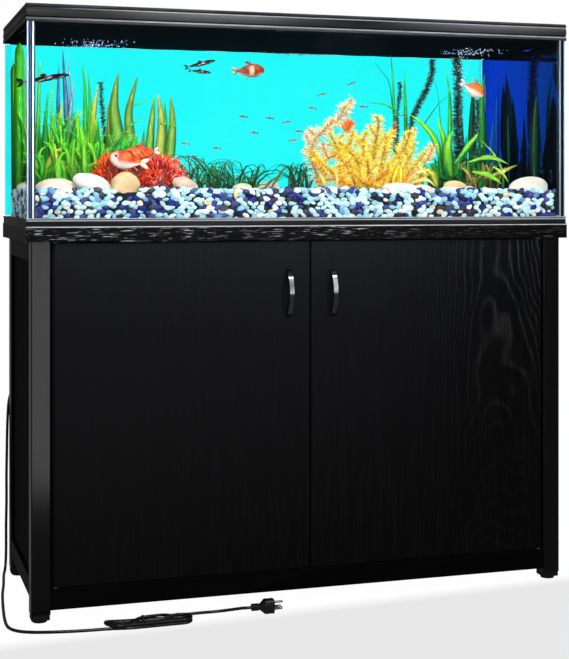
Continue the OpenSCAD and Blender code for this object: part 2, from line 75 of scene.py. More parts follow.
def mesh_object(name, verts, faces, material, tint=None, smooth=True):
    """A mesh piece that rides on the stand, with an optional colour for every vertex."""
    mesh = bpy.data.meshes.new(name)
    mesh.from_pydata([tuple(v) for v in verts], [], [tuple(f) for f in faces])
    mesh.validate()
    mesh.update()
    if smooth:
        mesh.polygons.foreach_set("use_smooth", [True] * len(mesh.polygons))
    if tint is not None:
        layer = mesh.attributes.new("tint", "FLOAT_COLOR", "POINT")
        rgba = np.ones((len(mesh.vertices), 4), np.float32)
        rgba[:, :3] = np.asarray(tint, np.float32)
        layer.data.foreach_set("color", rgba.ravel())
    mesh.materials.append(material)
    return link(bpy.data.objects.new(name, mesh))


def smooth_route(points, step):
    """Points on a smooth curve through a route, about a step apart."""
    p = [Vector(q) for q in points]
    out = []
    for i in range(len(p) - 1):
        a, b, c, d = p[max(i - 1, 0)], p[i], p[i + 1], p[min(i + 2, len(p) - 1)]
        n = max(1, round((c - b).length / step))
        for k in range(n):
            t = k / n
            out.append(0.5 * (2 * b + (c - a) * t + (2 * a - 5 * b + 4 * c - d) * t * t
                              + (3 * b - a - 3 * c + d) * t ** 3))
    out.append(p[-1])
    return out


# ---------- cord route ----------

CORD_D = 6.5
CORD_R = CORD_D / 2
LEAD = [
    (-541, 241, 470), (-542, 253, 468), (-549, 263, 460), (-564, 268, 446),
    (-582, 262, 432), (-594, 250, 419), (-601, 239, 402), (-604, 233, 380),
    (-606, 230, 340), (-607, 230, 285), (-608, 229, 225), (-608, 228, 168),
    (-609, 228, 110), (-609, 228, 60), (-610, 225, 28), (-613, 214, 9),
    (-617, 198, 3.4), (-621, 165, 3.3), (-628, 100, 3.3), (-636, 40, 3.3),
    (-642, -20, 3.3), (-648, -95, 3.3), (-652, -160, 3.3), (-652, -205, 3.3),
    (-646, -232, 3.3), (-632, -251, 3.3), (-610, -264, 3.3), (-580, -273, 3.3),
    (-545, -280, 3.3), (-505, -285, 3.3), (-458, -288, 3.3),
]
TAIL = [
    (-340, -248, 9.9), (-327, -242, 7), (-313, -239, 4.2), (-296, -237, 3.3),
    (-275, -236, 3.3), (-252, -235, 3.3), (-228, -236, 3.4), (-207, -240, 5),
    (-188, -249, 8.5), (-173, -261, 13), (-162, -268, 15), (-152, -270, 15.5),
]
FOLD_LEFT = (-433, -269)
FOLD_RIGHT = (-303, -274)
FOLD_LEFT_R = 27.75
FOLD_RIGHT_R = 19.75
INNER_FOLD_R = 20.5
LOW = 3.3
HIGH = 9.9


def ease(t):
    t = min(max(t, 0), 1)
    return t * t * (3 - 2 * t)


def fold(centre, r, start, end, n, low, high, rise=(0, 1)):
    """Points round an end of the hank, rising from low to high over part of the turn."""
    out = []
    for i in range(n):
        t = i / (n - 1)
        a = math.radians(start + (end - start) * t)
        z = low + (high - low) * ease((t - rise[0]) / (rise[1] - rise[0]))
        out.append((centre[0] + r * math.cos(a), centre[1] + r * math.sin(a), z))
    return out


FRONT_X = (-416, -398, -380, -362, -345, -329, -315)
BACK_X = (-319, -335, -352, -370, -388, -405, -421)


def front_run(z, skip=0):
    return [(x, -296.0 + (x + 434) * 0.0172, z) for x in FRONT_X[skip:]]


HANK = (
    [(-436, -291.5, LOW), (-418, -294.6, LOW)]
    + front_run(LOW, 1)
    + fold(FOLD_RIGHT, FOLD_RIGHT_R, -84, 84, 6, LOW, LOW)
    + [(x, -252.3 - (x + 319) * 0.094, LOW) for x in BACK_X]
    + fold(FOLD_LEFT, FOLD_LEFT_R, 84, 270, 9, LOW, HIGH, (0.0, 0.56))
    + front_run(HIGH)
    + fold(FOLD_RIGHT, FOLD_RIGHT_R, -84, 84, 6, HIGH, HIGH)
    + [(-316, -254.6, 9.6), (-327, -256.2, 7.8), (-338, -257.6, 5.2), (-350, -257.6, LOW),
       (-365, -256, LOW), (-380, -254.4, LOW), (-395, -252.6, LOW), (-410, -250.8, LOW),
       (-423, -249.3, LOW)]
    + fold(FOLD_LEFT, INNER_FOLD_R, 84, 268, 7, LOW, HIGH, (0.1, 0.75))
    + [(-423, -287, 9.7), (-413, -280.5, 9.2), (-404.5, -271, 8.9), (-396, -261.5, 9.1),
       (-386, -253.6, 9.5), (-373, -250.2, 9.9), (-357, -249, 10)]
)
ROUTE = LEAD + HANK + TAIL

# ---------- materials ----------


def srgb(r, g, b):
    """An sRGB colour, 0 to 255, as linear values."""
    out = []
    for v in (r, g, b):
        v /= 255
        out.append(v / 12.92 if v <= 0.04045 else ((v + 0.055) / 1.055) ** 2.4)
    return tuple(out)


def hues(text):
    """Linear colours from words of hex digits."""
    return [srgb(*bytes.fromhex(word)) for word in text.split()]


NOISE_LOW, NOISE_HIGH = 0.3, 0.7  # the range that a noise mostly covers


class Look:
    """A node material on one Principled shader, built up by short calls."""

    def __init__(self, name, **sockets):
        self.material = bpy.data.materials.new(name)
        self.material.use_nodes = True
        self.tree = self.material.node_tree
        self.shader = self.tree.nodes["Principled BSDF"]
        self.place = None
        for key, value in sockets.items():
            self.shader.inputs[key.replace("_", " ")].default_value = value

    def node(self, kind, inputs=None, **settings):
        n = self.tree.nodes.new("ShaderNode" + kind)
        for key, value in settings.items():
            setattr(n, key, value)
        for key, value in (inputs or {}).items():
            if isinstance(value, bpy.types.NodeSocket):
                self.tree.links.new(value, n.inputs[key])
            else:
                n.inputs[key].default_value = value
        return n

    def to(self, socket, key):
        self.tree.links.new(socket, self.shader.inputs[key])

    def colour(self, socket):
        self.to(socket, "Base Color")

    def rough(self, socket):
        self.to(socket, "Roughness")

    def coords(self, stretch=(1, 1, 1)):
        if self.place is None:
            self.place = self.node("TexCoord").outputs["Object"]
        return self.node("Mapping", {"Vector": self.place, "Scale": stretch}).outputs["Vector"]

    def noise(self, scale, stretch=(1, 1, 1), detail=3, rough=0.55, distort=0.0):
        return self.node("TexNoise", {"Vector": self.coords(stretch), "Scale": scale, "Detail": detail,
                                      "Roughness": rough, "Distortion": distort}).outputs["Fac"]

    def split(self):
        """The object's X, Y and Z in metres."""
        return self.node("SeparateXYZ", {"Vector": self.coords()}).outputs

    def normal(self):
        """The X, Y and Z of the way the surface faces."""
        facing = self.node("NewGeometry").outputs["Normal"]
        return self.node("SeparateXYZ", {"Vector": facing}).outputs

    def math(self, operation, a, b=0.0, c=0.0):
        return self.node("Math", {0: a, 1: b, 2: c}, operation=operation).outputs[0]

    def mul(self, a, b):
        return self.math("MULTIPLY", a, b)

    def add(self, a, b):
        return self.math("ADD", a, b)

    def remap(self, value, low, high, to_low=0.0, to_high=1.0):
        return self.node("MapRange", {"Value": value, "From Min": low, "From Max": high,
                                      "To Min": to_low, "To Max": to_high}).outputs["Result"]

    def vary(self, noise, low, high):
        """A noise spread over a range of values."""
        return self.remap(noise, NOISE_LOW, NOISE_HIGH, low, high)

    def two(self, noise, colours):
        """A noise as a blend of two colours."""
        dark, light = hues(colours)
        return self.ramp(noise, (NOISE_LOW, dark), (NOISE_HIGH, light))

    def ramp(self, value, *stops):
        n = self.node("ValToRGB", {"Fac": value})
        e = n.color_ramp.elements
        while len(e) < len(stops):
            e.new(0.5)
        for i, (at, colour) in enumerate(stops):
            e[i].position = at
            e[i].color = (*colour, 1)
        return n.outputs["Color"]

    def mix(self, fac, a, b, blend="MIX"):
        n = self.node("Mix", {"Factor": fac}, data_type="RGBA", blend_type=blend)
        for key, value in ((6, a), (7, b)):
            if isinstance(value, bpy.types.NodeSocket):
                self.tree.links.new(value, n.inputs[key])
            else:
                n.inputs[key].default_value = (*value, 1)
        return n.outputs[2]

    def bump(self, height, strength, distance):
        n = self.node("Bump", {"Height": height, "Strength": strength, "Distance": distance})
        self.to(n.outputs["Normal"], "Normal")


def moulded(name, colours, rough=0.4, scale=60, grain=900, bump=0.15, depth=0.0004,
            stretch=(1, 1, 1), spread=0.08, **sockets):
    """Plastic, metal or paint: mottled colour, uneven roughness and a fine surface."""
    look = Look(name, **sockets)
    broad = look.noise(scale, stretch, 4)
    look.colour(look.two(broad, colours))
    look.rough(look.vary(broad, rough - spread, rough + spread))
    look.bump(look.noise(grain, stretch, 2), bump, depth)
    return look.material


def laminate(name, colours, along, spec=0.35):
    """Black wood-grain laminate: growth-ring figure, fine pores and worn flecks."""
    look = Look(name, Specular_IOR_Level=spec)
    base, streak, fleck = hues(colours)
    long, wide = (0.16, 1.0) if along == "X" else (1.0, 0.16)
    figure = look.noise(2.2, (long * 1.2, 1, wide * 1.2), 2, 0.4, 0.25)
    ring = look.math("FRACT", look.mul(figure, 16.0))
    line = look.math("POWER", ring, 3.0)
    pores = look.noise(260, (long * 0.4, 1, wide * 0.4), 3, 0.7)
    colour = look.mix(line, base, streak)
    worn = look.remap(pores, 0.62, 0.74)
    worn = look.mul(worn, look.remap(line, 0.0, 1.0, 0.25, 1.0))
    look.colour(look.mix(worn, colour, fleck))
    look.rough(look.remap(pores, 0.3, 0.8, 0.37, 0.57))
    height = look.add(look.mul(line, 0.5), pores)
    look.bump(height, 0.5, 0.0006)
    return look.material


M = {
    "post": moulded("post_paint", "070809 0b0c0d", 0.12, 8, 500, 0.05,
                    stretch=(1, 1, 0.15), Specular_IOR_Level=0.42, spread=0.03),
    "rail": laminate("rail_laminate", "0a0a0c 0f0f11 161618", "X", spec=0.06),
    "panel": laminate("panel_laminate", "070708 0b0b0c 101011", "Z", spec=0.006),
    "inside": laminate("inside_laminate", "1a1a1c 212123 28282a", "X"),
    "foot": moulded("foot_plastic", "0d0d0e 161617", 0.5),
    "catch": moulded("catch_plastic", "28292b 3a3b3d", 0.5),
    "zinc": moulded("zinc_steel", "8a8c8f b0b1b4", 0.32, 30, 600, 0.1, Metallic=1.0),
    "handle": moulded("handle_metal", "68696c 828386", 0.12, 40, 500, 0.05,
                      Metallic=1.0, spread=0.03),
    "strip": moulded("strip_plastic", "1e1f21 28292b", 0.5),
    "switch": moulded("switch_plastic", "54100e 781814", 0.3),
    "cord": moulded("cord_jacket", "18181a 222225", 0.24, 90, 700, 0.1,
                    Specular_IOR_Level=0.8, spread=0.04),
    "brass": moulded("blade_brass", "aaa088 ccc4b0", 0.3, Metallic=1.0),
}


def upright_lines(look, place, start, width, stops):
    """Colours along X, each with its own place in metres."""
    return look.ramp(look.remap(place, start, start + width),
                     *[((x - start) / width, colour) for x, colour in stops])


def glass_look():
    """Clear float glass with painted highlight lines and dark lines on the pane ends where the front
    corners meet.
    """
    look = Look("tank_glass", Roughness=0.02, IOR=1.5, Specular_IOR_Level=0.4)
    marks = look.noise(14, (1, 1, 0.4), 4)
    place = look.split()
    white, navy, deep, steel = hues("ecf4fa 1a2e54 080e18 546ea0")
    clear, silver, bright = hues("46646c 969ea6 78d2f0")
    # left pane ends: white lines are painted highlights; navy, steel and deep lines are partly the glass's
    # own end-on tint and partly painted shade
    left = upright_lines(look, place["X"], -0.613, 0.018, (
        (-0.6120, white), (-0.6103, white), (-0.6099, steel), (-0.6082, steel), (-0.6078, deep),
        (-0.6062, navy), (-0.6058, steel), (-0.6042, navy), (-0.6038, deep), (-0.6021, deep),
        (-0.6017, white), (-0.5984, white), (-0.5980, deep), (-0.5960, deep), (-0.5956, clear)))
    # right pane ends: silver and bright lines are painted highlights, deep is painted shade
    right = upright_lines(look, place["X"], 0.597, 0.016, (
        (0.5985, clear), (0.5992, silver), (0.6022, silver), (0.6032, deep), (0.6098, deep),
        (0.6105, bright), (0.6120, bright)))
    look.colour(look.mix(look.remap(place["X"], -0.01, 0.01), left, right))
    edge = look.node("LayerWeight", {"Blend": 0.12}).outputs["Facing"]
    edge = look.mul(look.math("POWER", edge, 8.0), 0.12)
    alpha = look.add(look.vary(marks, 0.004, 0.012), edge)
    # the painted pane-end lines are drawn nearly opaque
    ends = look.math("MAXIMUM", look.remap(place["X"], 0.5978, 0.5982),
                     look.remap(place["X"], -0.5958, -0.5954, 1.0, 0.0))
    ends = look.mul(look.mul(ends, look.remap(place["Y"], -0.2030, -0.2040)), 0.92)
    look.to(look.math("MAXIMUM", alpha, ends), "Alpha")
    return look.material


def clouded(name, noise, colours, **sockets):
    """A look in two colours that drift with a noise, and the noise."""
    look = Look(name, **sockets)
    cloud = look.noise(*noise)
    look.colour(look.two(cloud, colours))
    return look, cloud


def film_look():
    """The lit cyan sheet behind the tank, a little paler in soft clouds."""
    look, cloud = clouded("background_film", (2.4, (1, 1, 1.4), 2), "001214 00181a", Roughness=0.6,
                          Specular_IOR_Level=0.0, Emission_Strength=1.0)
    look.to(look.two(cloud, "1ef9fa 2afdfd"), "Emission Color")
    return look.material


def mirror_look():
    """Deep blue metallised film on the right pane, darker towards the front."""
    look = Look("side_film", Roughness=0.03, Metallic=1.0, Specular_Tint=(0.5, 0.75, 0.95, 1.0))
    cloud = look.noise(5, (1, 1, 0.5), 3)
    depth = look.add(look.remap(look.split()["Y"], -0.2, 0.22), look.vary(cloud, -0.1, 0.1))
    front, middle, back = hues("181876 2c1eb0 3616c0")
    look.colour(look.ramp(depth, (0.05, front), (0.6, middle), (0.95, back)))
    look.rough(look.vary(cloud, 0.015, 0.05))
    return look.material


def silicone_look():
    """Clear silicone: a faint milky bead that lets the corner show through."""
    look, cloud = clouded("silicone_rubber", (60, (1, 1, 0.2), 3), "183c50 28606e", Roughness=0.25,
                          Specular_IOR_Level=0.5)
    look.to(look.vary(cloud, 0.04, 0.12), "Alpha")
    return look.material


def board_look():
    """Black board: coarse sawn grain along its length with pale, worn flecks."""
    look = Look("board_laminate", Specular_IOR_Level=0.12)
    grain = look.noise(620, (0.05, 1, 1), 3, 0.55, 0.15)
    patch = look.noise(9, (0.4, 1, 1), 2)
    worn = look.remap(grain, 0.6, 0.65)
    worn = look.mul(worn, look.remap(patch, 0.35, 0.62, 0.1, 1.0))
    worn = look.mul(worn, look.remap(look.split()["X"], -0.1, 0.5, 1.0, 0.25))
    tone = look.ramp(grain, (0.38, srgb(2, 2, 3)), (0.56, srgb(9, 9, 10)))
    look.colour(look.mix(worn, tone, srgb(205, 207, 210)))
    look.rough(look.vary(grain, 0.3, 0.55))
    look.bump(grain, 0.9, 0.0012)
    return look.material


def door_look():
    """Black ash veneer: fine upright pores, with a faint arched figure to the right, and painted shade
    that darkens it towards the bottom and towards the right.
    """
    look = Look("door_laminate", Specular_IOR_Level=0.16)
    split = look.split()
    pores = look.noise(300, (1, 1, 0.025), 4, 0.7, 0.15)
    wander = look.noise(3.2, (1, 1, 0.45), 3, 0.5, 0.3)
    centre = look.math("ABSOLUTE", look.math("SUBTRACT", split["X"], 0.46))
    arch = look.math("MULTIPLY_ADD", look.mul(centre, centre), 60.0, look.mul(split["Z"], 2.6))
    arch = look.add(arch, look.mul(wander, 2.4))
    ring = look.math("SINE", look.mul(arch, 40.0))
    ring = look.math("POWER", look.math("MAXIMUM", ring, 0.0), 3.0)
    right = look.remap(split["X"], 0.18, 0.48)
    upper = look.remap(split["Z"], 0.32, 0.6, 0.1, 1.0)
    figure = look.mul(ring, look.mul(right, upper))
    figure = look.mul(figure, look.remap(pores, 0.4, 0.6, 0.2, 1.0))
    # painted shade: darker towards the bottom
    painted_height_ramp = look.remap(split["Z"], 0.1, 0.75)
    tone = look.ramp(painted_height_ramp, (0.0, srgb(8, 9, 12)), (0.5, srgb(21, 22, 25)), (1.0, srgb(22, 23, 26)))
    # painted shade: darker towards the right
    left = look.remap(split["X"], 0.16, 0.46, 0.0, 0.85)
    tone = look.mix(left, tone, srgb(5, 6, 9))
    tone = look.mix(look.remap(pores, 0.5, 0.7, 0.0, 0.45), tone, srgb(38, 39, 42))
    look.colour(look.mix(look.mul(figure, 0.55), tone, srgb(84, 84, 86)))
    look.rough(look.vary(pores, 0.36, 0.52))
    look.bump(look.add(pores, look.mul(figure, 0.5)), 0.5, 0.0005)
    return look.material


def band(look, value, low, high, soft=0.0004):
    """1 between two heights, 0 outside them."""
    above = look.remap(value, low, low + soft)
    below = look.remap(value, high - soft, high, 1.0, 0.0)
    return look.mul(above, below)


def front_face(look, place):
    """1 on the upright outside faces at the front, 0 elsewhere."""
    turned = look.remap(look.normal()["Y"], -0.7, -0.4, 1.0, 0.0)
    return look.mul(turned, look.remap(place["Y"], -0.21, -0.2, 1.0, 0.0))


def frame_look():
    """Black moulded frames: a painted soft sheen between painted highlight lines and painted dark lines
    along the lips, on the front faces.
    """
    look = Look("frame_plastic", Specular_IOR_Level=0.12)
    streak = look.noise(7, (0.5, 1, 6), 3)
    place = look.split()
    height = place["Z"]
    front = front_face(look, place)
    # painted sheen: the front faces of the top frame lighten upwards
    painted_height_ramp = look.remap(height, 1.246, 1.266)
    dark, middle, pale = hues("2a2b2d 424447 6c6e72")
    sheen = look.ramp(painted_height_ramp, (0.0, dark), (0.5, middle), (1.0, pale))
    # painted sheen: the bottom frame lightens towards its top edge
    low = look.remap(height, 0.819, 0.832)
    dark, middle, pale = hues("202123 2a2b2d 606264")
    low = look.ramp(low, (0.0, dark), (0.5, middle), (0.8, pale))
    sheen = look.mix(look.remap(height, 0.9, 1.0, 1.0, 0.0), sheen, low)
    # painted sheen that swells and fades along X, in place of soft reflections
    wave = look.math("COSINE", look.math("MULTIPLY_ADD", place["X"], 9.8, 2.16))
    wave = look.add(look.remap(wave, -1.0, 1.0, 0.12, 0.95), look.vary(streak, -0.12, 0.12))
    plain = look.mix(look.vary(streak, 0.0, 1.0), srgb(9, 10, 11), srgb(16, 17, 19))
    tone = look.mix(look.mul(wave, front), plain, sheen)
    # painted highlights are stronger to the left
    left = look.remap(place["X"], -0.59, -0.32, 0.3, 1.0)
    shine = look.mul(look.mul(left, front), look.vary(streak, 0.7, 1.0))
    # painted highlight lines, with painted dark lines beside them, along the lips
    lips = ((1.2652, 1.2665, shine, "b4b7bb"), (1.2428, 1.2464, shine, "9ea1a5"),
            (1.2370, 1.2428, shine, "3a3c3f"), (1.2464, 1.2490, front, "070809"),
            (0.8278, 0.8302, front, "babec2"), (0.8320, 0.8345, front, "babec2"),
            (0.8172, 0.8190, front, "040405"), (0.8130, 0.8172, front, "ced1d3"))
    for bottom, top, strength, colour in lips:
        strength = look.mul(band(look, height, bottom, top), strength)
        tone = look.mix(strength, tone, *hues(colour))
    look.colour(tone)
    under = look.remap(look.normal()["Z"], -0.7, -0.3, 0.6, 0.0)
    look.rough(look.add(look.vary(streak, 0.28, 0.4), under))
    look.bump(look.noise(700, (1, 1, 1), 2), 0.12, 0.0004)
    return look.material


def hood_look():
    """Black moulded hood with a painted highlight line along the foot of its front, fading out to the
    right, and a painted sheen along the top edge of its front.
    """
    look = Look("hood_plastic", Specular_IOR_Level=0.1)
    streak = look.noise(9, (0.3, 1, 1), 3)
    place = look.split()
    front = front_face(look, place)
    tone = look.two(streak, "060708 0f1012")
    # painted sheen along the top edge of the front
    top = look.mul(band(look, place["Z"], 1.2705, 1.276), front)
    tone = look.mix(look.mul(top, look.remap(streak, 0.35, 0.65, 0.0, 0.8)), tone, srgb(84, 86, 89))
    # painted highlight line along the foot of the front, fading out to the right
    left = look.remap(place["X"], -0.56, -0.36)
    line = look.mul(band(look, place["Z"], 1.2655, 1.2674), look.mul(front, left))
    look.colour(look.mix(line, tone, srgb(180, 183, 187)))
    look.rough(look.vary(streak, 0.28, 0.44))
    look.bump(look.noise(1100, (1, 1, 1), 2), 0.2, 0.0004)
    return look.material


def lens_look():
    """The lamp's lit lens, with fine cells."""
    look = Look("lamp_lens", Roughness=0.3, Emission_Strength=2.0)
    dim, bright = hues("d7ebff f5faff")
    tone = look.ramp(look.noise(120, (1, 1, 1), 2), (0.35, dim), (0.65, bright))
    look.colour(tone)
    look.to(tone, "Emission Color")
    return look.material


M |= {
    "board": board_look(), "door": door_look(), "silicone": silicone_look(), "hood": hood_look(),
    "frame": frame_look(), "glass": glass_look(), "film": film_look(), "mirror": mirror_look(),
    "lens": lens_look(), "tie": moulded("tie_paper", "0e0e0f 1a1a1c", 0.55),
}

# each finish, and the starts of the names of the CAD nodes that wear it
FINISH = {
    "post": "leg_", "rail": "side_rails_ front_rail_ back_rail_", "panel": "side_panel_ back_panel",
    "inside": "cabinet_floor centre_divider", "board": "stand_top", "door": "door_left door_right",
    "foot": "foot_glides", "catch": "magnetic_catches",
    "zinc": "door_pivot_pins hood_hinge_pins strike_plate_ handle_screws_",
    "handle": "handle_left handle_right", "strip": "power_strip", "switch": "power_switch",
    "frame": "tank_bottom_frame tank_top_frame", "hood": "hood_frame hood_flap_ led_housing",
    "lens": "led_lens", "silicone": "silicone_seams", "film": "background_film",
    "glass": "tank_base_glass tank_front_glass tank_back_glass tank_left_glass tank_right_glass",
    "mirror": "side_film", "brass": "plug_blades", "cord": "cord_gland",
}
for key, starts in FINISH.items():
    for name, node in NODES.items():
        if name.startswith(tuple(starts.split())):
            node.data.materials.clear()
            node.data.materials.append(M[key])

# ---------- trim along the mirror film ----------

trim_x, trim_out = 612 * MM, 613.4 * MM
trim_front, trim_back = -213 * MM, 218 * MM
trim_low, trim_high = 1235.8 * MM, 1238 * MM
corners = [(x, y, z) for x in (trim_x, trim_out) for y in (trim_front, trim_back)
           for z in (trim_low, trim_high)]
trim_faces = [(0, 1, 3, 2), (4, 6, 7, 5), (0, 4, 5, 1), (2, 3, 7, 6), (0, 2, 6, 4), (1, 5, 7, 3)]
trim = mesh_object("side_film_trim", corners, trim_faces, M["frame"], smooth=False)

# ---------- cord, tie and plug ----------


def cord_piece():
    """The whole power cord on one spline: hanging lead, hank and tail."""
    path = smooth_route(mm(ROUTE), 0.004)
    curve = bpy.data.curves.new("power_cord_run", "CURVE")
    curve.dimensions = "3D"
    curve.bevel_depth = CORD_R * MM
    curve.bevel_resolution = 4
    curve.use_fill_caps = True
    spline = curve.splines.new("POLY")
    spline.points.add(len(path) - 1)
    for point, at in zip(spline.points, path):
        point.co = (at.x, at.y, max(at.z, CORD_R * MM), 1)
    curve.materials.append(M["cord"])
    return link(bpy.data.objects.new("power_cord_run", curve))


def revolve(profile, start, sides=28):
    """A closed shape turned round Y: (distance along the axis, radius) pairs from one end."""
    axis = Vector((0, 1, 0))
    side = axis.orthogonal().normalized()
    up = axis.cross(side)
    turn = [2 * math.pi * k / sides for k in range(sides)]
    return loft([[Vector(start) + axis * along + r * (math.cos(a) * side + math.sin(a) * up)
                  for a in turn] for along, r in profile])


def squared(width, height, corner, sides=32):
    """A rounded-rectangle ring of sides points, centred on the origin."""
    out = []
    for k in range(sides):
        a = 2 * math.pi * (k + 0.5) / sides
        c, s = math.cos(a), math.sin(a)
        p = 2 / corner
        out.append((width / 2 * math.copysign(abs(c) ** p, c),
                    height / 2 * math.copysign(abs(s) ** p, s)))
    return out


def loft(rings):
    """A closed shape through rings of equal point counts."""
    n, last = len(rings[0]), (len(rings) - 1) * len(rings[0])
    faces = [(i + k, i + (k + 1) % n, i + n + (k + 1) % n, i + n + k)
             for i in range(0, last, n) for k in range(n)]
    faces.append(tuple(range(n))[::-1])
    faces.append(tuple(last + k for k in range(n)))
    return [p for ring in rings for p in ring], faces


def plug_piece():
    """Moulded plug: ribbed neck, waisted flare and a grip head."""
    x0, y0, z0 = -152 * MM, -270 * MM, 15.5 * MM
    stations = []
    for i in range(5):
        x = i * 3.2
        stations += [(x, 10.5, 10.5, 2), (x + 0.5, 15.4, 15.4, 2.2), (x + 2.0, 15.4, 15.4, 2.2),
                     (x + 2.5, 11.0, 11.0, 2)]
    stations += [(16.4, 12.5, 12.5, 2.1), (20.0, 15.0, 16.5, 2.4), (24.0, 19.5, 23.0, 2.8),
                 (27.5, 24.5, 29.0, 3.4), (29.5, 25.8, 30.6, 3.8), (34.0, 25.0, 30.2, 3.8),
                 (40.0, 24.4, 29.8, 3.8), (45.0, 25.6, 30.6, 4.0), (47.2, 25.4, 30.4, 4.0),
                 (48.0, 24.0, 29.0, 4.0)]
    rings = []
    for x, w, h, corner in stations:
        rings.append([(x0 + x * MM, y0 + a * MM, z0 + b * MM) for a, b in squared(w, h, corner)])
    verts, faces = loft(rings)
    return mesh_object("plug_head", verts, faces, M["cord"])


def gland_piece():
    """Strain relief on the back panel: flange, ribs and a taper down to the cord."""
    profile = [(0, 13.2), (0.5, 14), (3.6, 14), (4, 13.4), (4.1, 9)]
    for i in range(5):
        r = 8.2 - 0.72 * i
        x = 5 + 3.8 * i
        profile += [(x, r - 1.1), (x + 0.6, r), (x + 2.3, r - 0.2), (x + 2.9, r - 1.3)]
    profile += [(24, 4.2), (25, 3.6)]
    profile = [(a * MM, r * MM) for a, r in profile]
    verts, faces = revolve(profile, (-0.541, 0.216, 0.470))
    return mesh_object("cord_gland_boot", verts, faces, M["cord"])


def tie_piece():
    """Paper-covered wire tie: a flat band round the back strands."""
    verts, faces = [], []
    loop = [(-1.2, 0.45), (-0.2, 0.35), (8, 0.35), (15.5, 0.35), (17.0, 1.5), (17.3, 5), (14, 10),
            (10.3, 13.2), (7.8, 13.7), (4, 12), (0.2, 7.5), (-1.2, 4)]
    n = len(loop)
    cy = sum(p[0] for p in loop) / n
    cz = sum(p[1] for p in loop) / n
    for x in (-382.2, -377.8):
        for push, least in ((0.5, 0.15), (-0.1, 0.3)):
            for y, z in loop:
                out = Vector((y - cy, z - cz)).normalized() * push
                verts.append((x * MM, (-259 + y + out.x) * MM, max(z + out.y, least) * MM))
    for k in range(n):
        j = (k + 1) % n
        faces += [(k, 2 * n + k, 2 * n + j, j), (n + k, n + j, 3 * n + j, 3 * n + k),
                  (k, j, n + j, n + k), (2 * n + k, 3 * n + k, 3 * n + j, 2 * n + j)]
    return mesh_object("cord_tie_band", verts, faces, M["tie"])


cord = cord_piece()
plug = plug_piece()
gland = gland_piece()
tie = tie_piece()
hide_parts("power_cord", "cord_hank", "cord_tail")
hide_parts("plug_body")
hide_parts("cord_gland")
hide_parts("cord_tie")

# ---------- stage and light ----------


def stage_look():
    """Pale floor: white close to the cabinet and light grey in front of it."""
    look = Look("stage_floor", Roughness=0.9, Specular_IOR_Level=0.0, Emission_Strength=1.0)
    split = look.split()
    line = look.math("MULTIPLY_ADD", split["X"], -0.09, split["Y"])
    fade = look.remap(line, -0.30, -0.235)
    speck = look.vary(look.noise(40), -0.01, 0.01)
    tone = look.ramp(look.add(fade, speck), (0.0, srgb(229, 229, 229)), (1.0, srgb(253, 253, 253)))
    look.colour(look.mix(0.9, tone, (0, 0, 0)))
    look.to(tone, "Emission Color")
    return look.material


floor_mesh = bpy.data.meshes.new("stage_floor")
floor_mesh.from_pydata([(-9, -5, -0.0005), (9, -5, -0.0005), (9, 9, -0.0005), (-9, 9, -0.0005)],
                       [], [(0, 1, 2, 3)])
floor_mesh.materials.append(stage_look())
floor = bpy.data.objects.new("stage_floor", floor_mesh)
floor.visible_diffuse = False
floor.visible_glossy = False
floor.visible_shadow = False
SCENE.collection.objects.link(floor)

world = bpy.data.worlds.new("studio")
world.use_nodes = True
nodes, links = world.node_tree.nodes, world.node_tree.links
rays = nodes.new("ShaderNodeLightPath")
strength = nodes.new("ShaderNodeMapRange")
links.new(rays.outputs["Is Camera Ray"], strength.inputs["Value"])
strength.inputs["To Min"].default_value = 0.115
strength.inputs["To Max"].default_value = 1.0
background = nodes["Background"]
background.inputs["Color"].default_value = (1, 1, 1, 1)
links.new(strength.outputs["Result"], background.inputs["Strength"])
SCENE.world = world
SCENE.view_settings.view_transform = "Standard"


def area_light(name, at, aim, size, power, colour=(1, 1, 1)):
    data = bpy.data.lights.new(name, "AREA")
    data.shape = "RECTANGLE"
    data.size, data.size_y = size
    data.energy = power
    data.color = colour
    lamp = bpy.data.objects.new(name, data)
    lamp.location = at
    lamp.rotation_euler = (Vector(aim) - Vector(at)).to_track_quat("-Z", "Y").to_euler()
    lamp.visible_camera = False
    SCENE.collection.objects.link(lamp)
    return lamp


area_light("key", (-0.5, -1.5, 1.75), (0, 0, 0.6), (0.7, 0.5), 9)
area_light("post_card", (-0.2, -2.9, 0.25), (-0.585, -0.2, 0.25), (0.36, 1.08), 2.3)
area_light("rim", (1.8, 1.8, 2.4), (0, 0, 0.8), (1.2, 1.2), 16)
for x in (0.332, 0.432):
    card = area_light("handle_card", (x, -1.19, 1.13), (x, -0.24, 0.67), (0.06, 1.3), 1.0)
    card.visible_diffuse = False
card = area_light("handle_spark", (0.4, -0.85, 1.74), (0.0, -0.24, 0.7), (0.24, 0.1), 1.6)
card.visible_diffuse = False
front_light = area_light("tank_front_light", (0, -1.7, 1.34), (0, 0, 1.03), (1.5, 0.3), 3.2)
front_light.data.spread = math.radians(28)
front_light.visible_glossy = False
for side in (-1, 1):
    lamp = area_light("tank_light", (side * 0.3, -0.02, 1.232), (side * 0.3, -0.02, 0.8),
                      (0.56, 0.34), 1.35, (0.94, 0.98, 1.0))
    lamp.visible_glossy = False

# ---------- planted tank ----------

WATER_Z = 1236 * MM
GRAVEL_Z = 896 * MM
TANK_FLOOR = 825 * MM
INNER_X = 602 * MM
INNER_FRONT = -203.5 * MM
INNER_BACK = 218.5 * MM


def blend_colour(a, b, t):
    return tuple(p + (q - p) * t for p, q in zip(a, b))


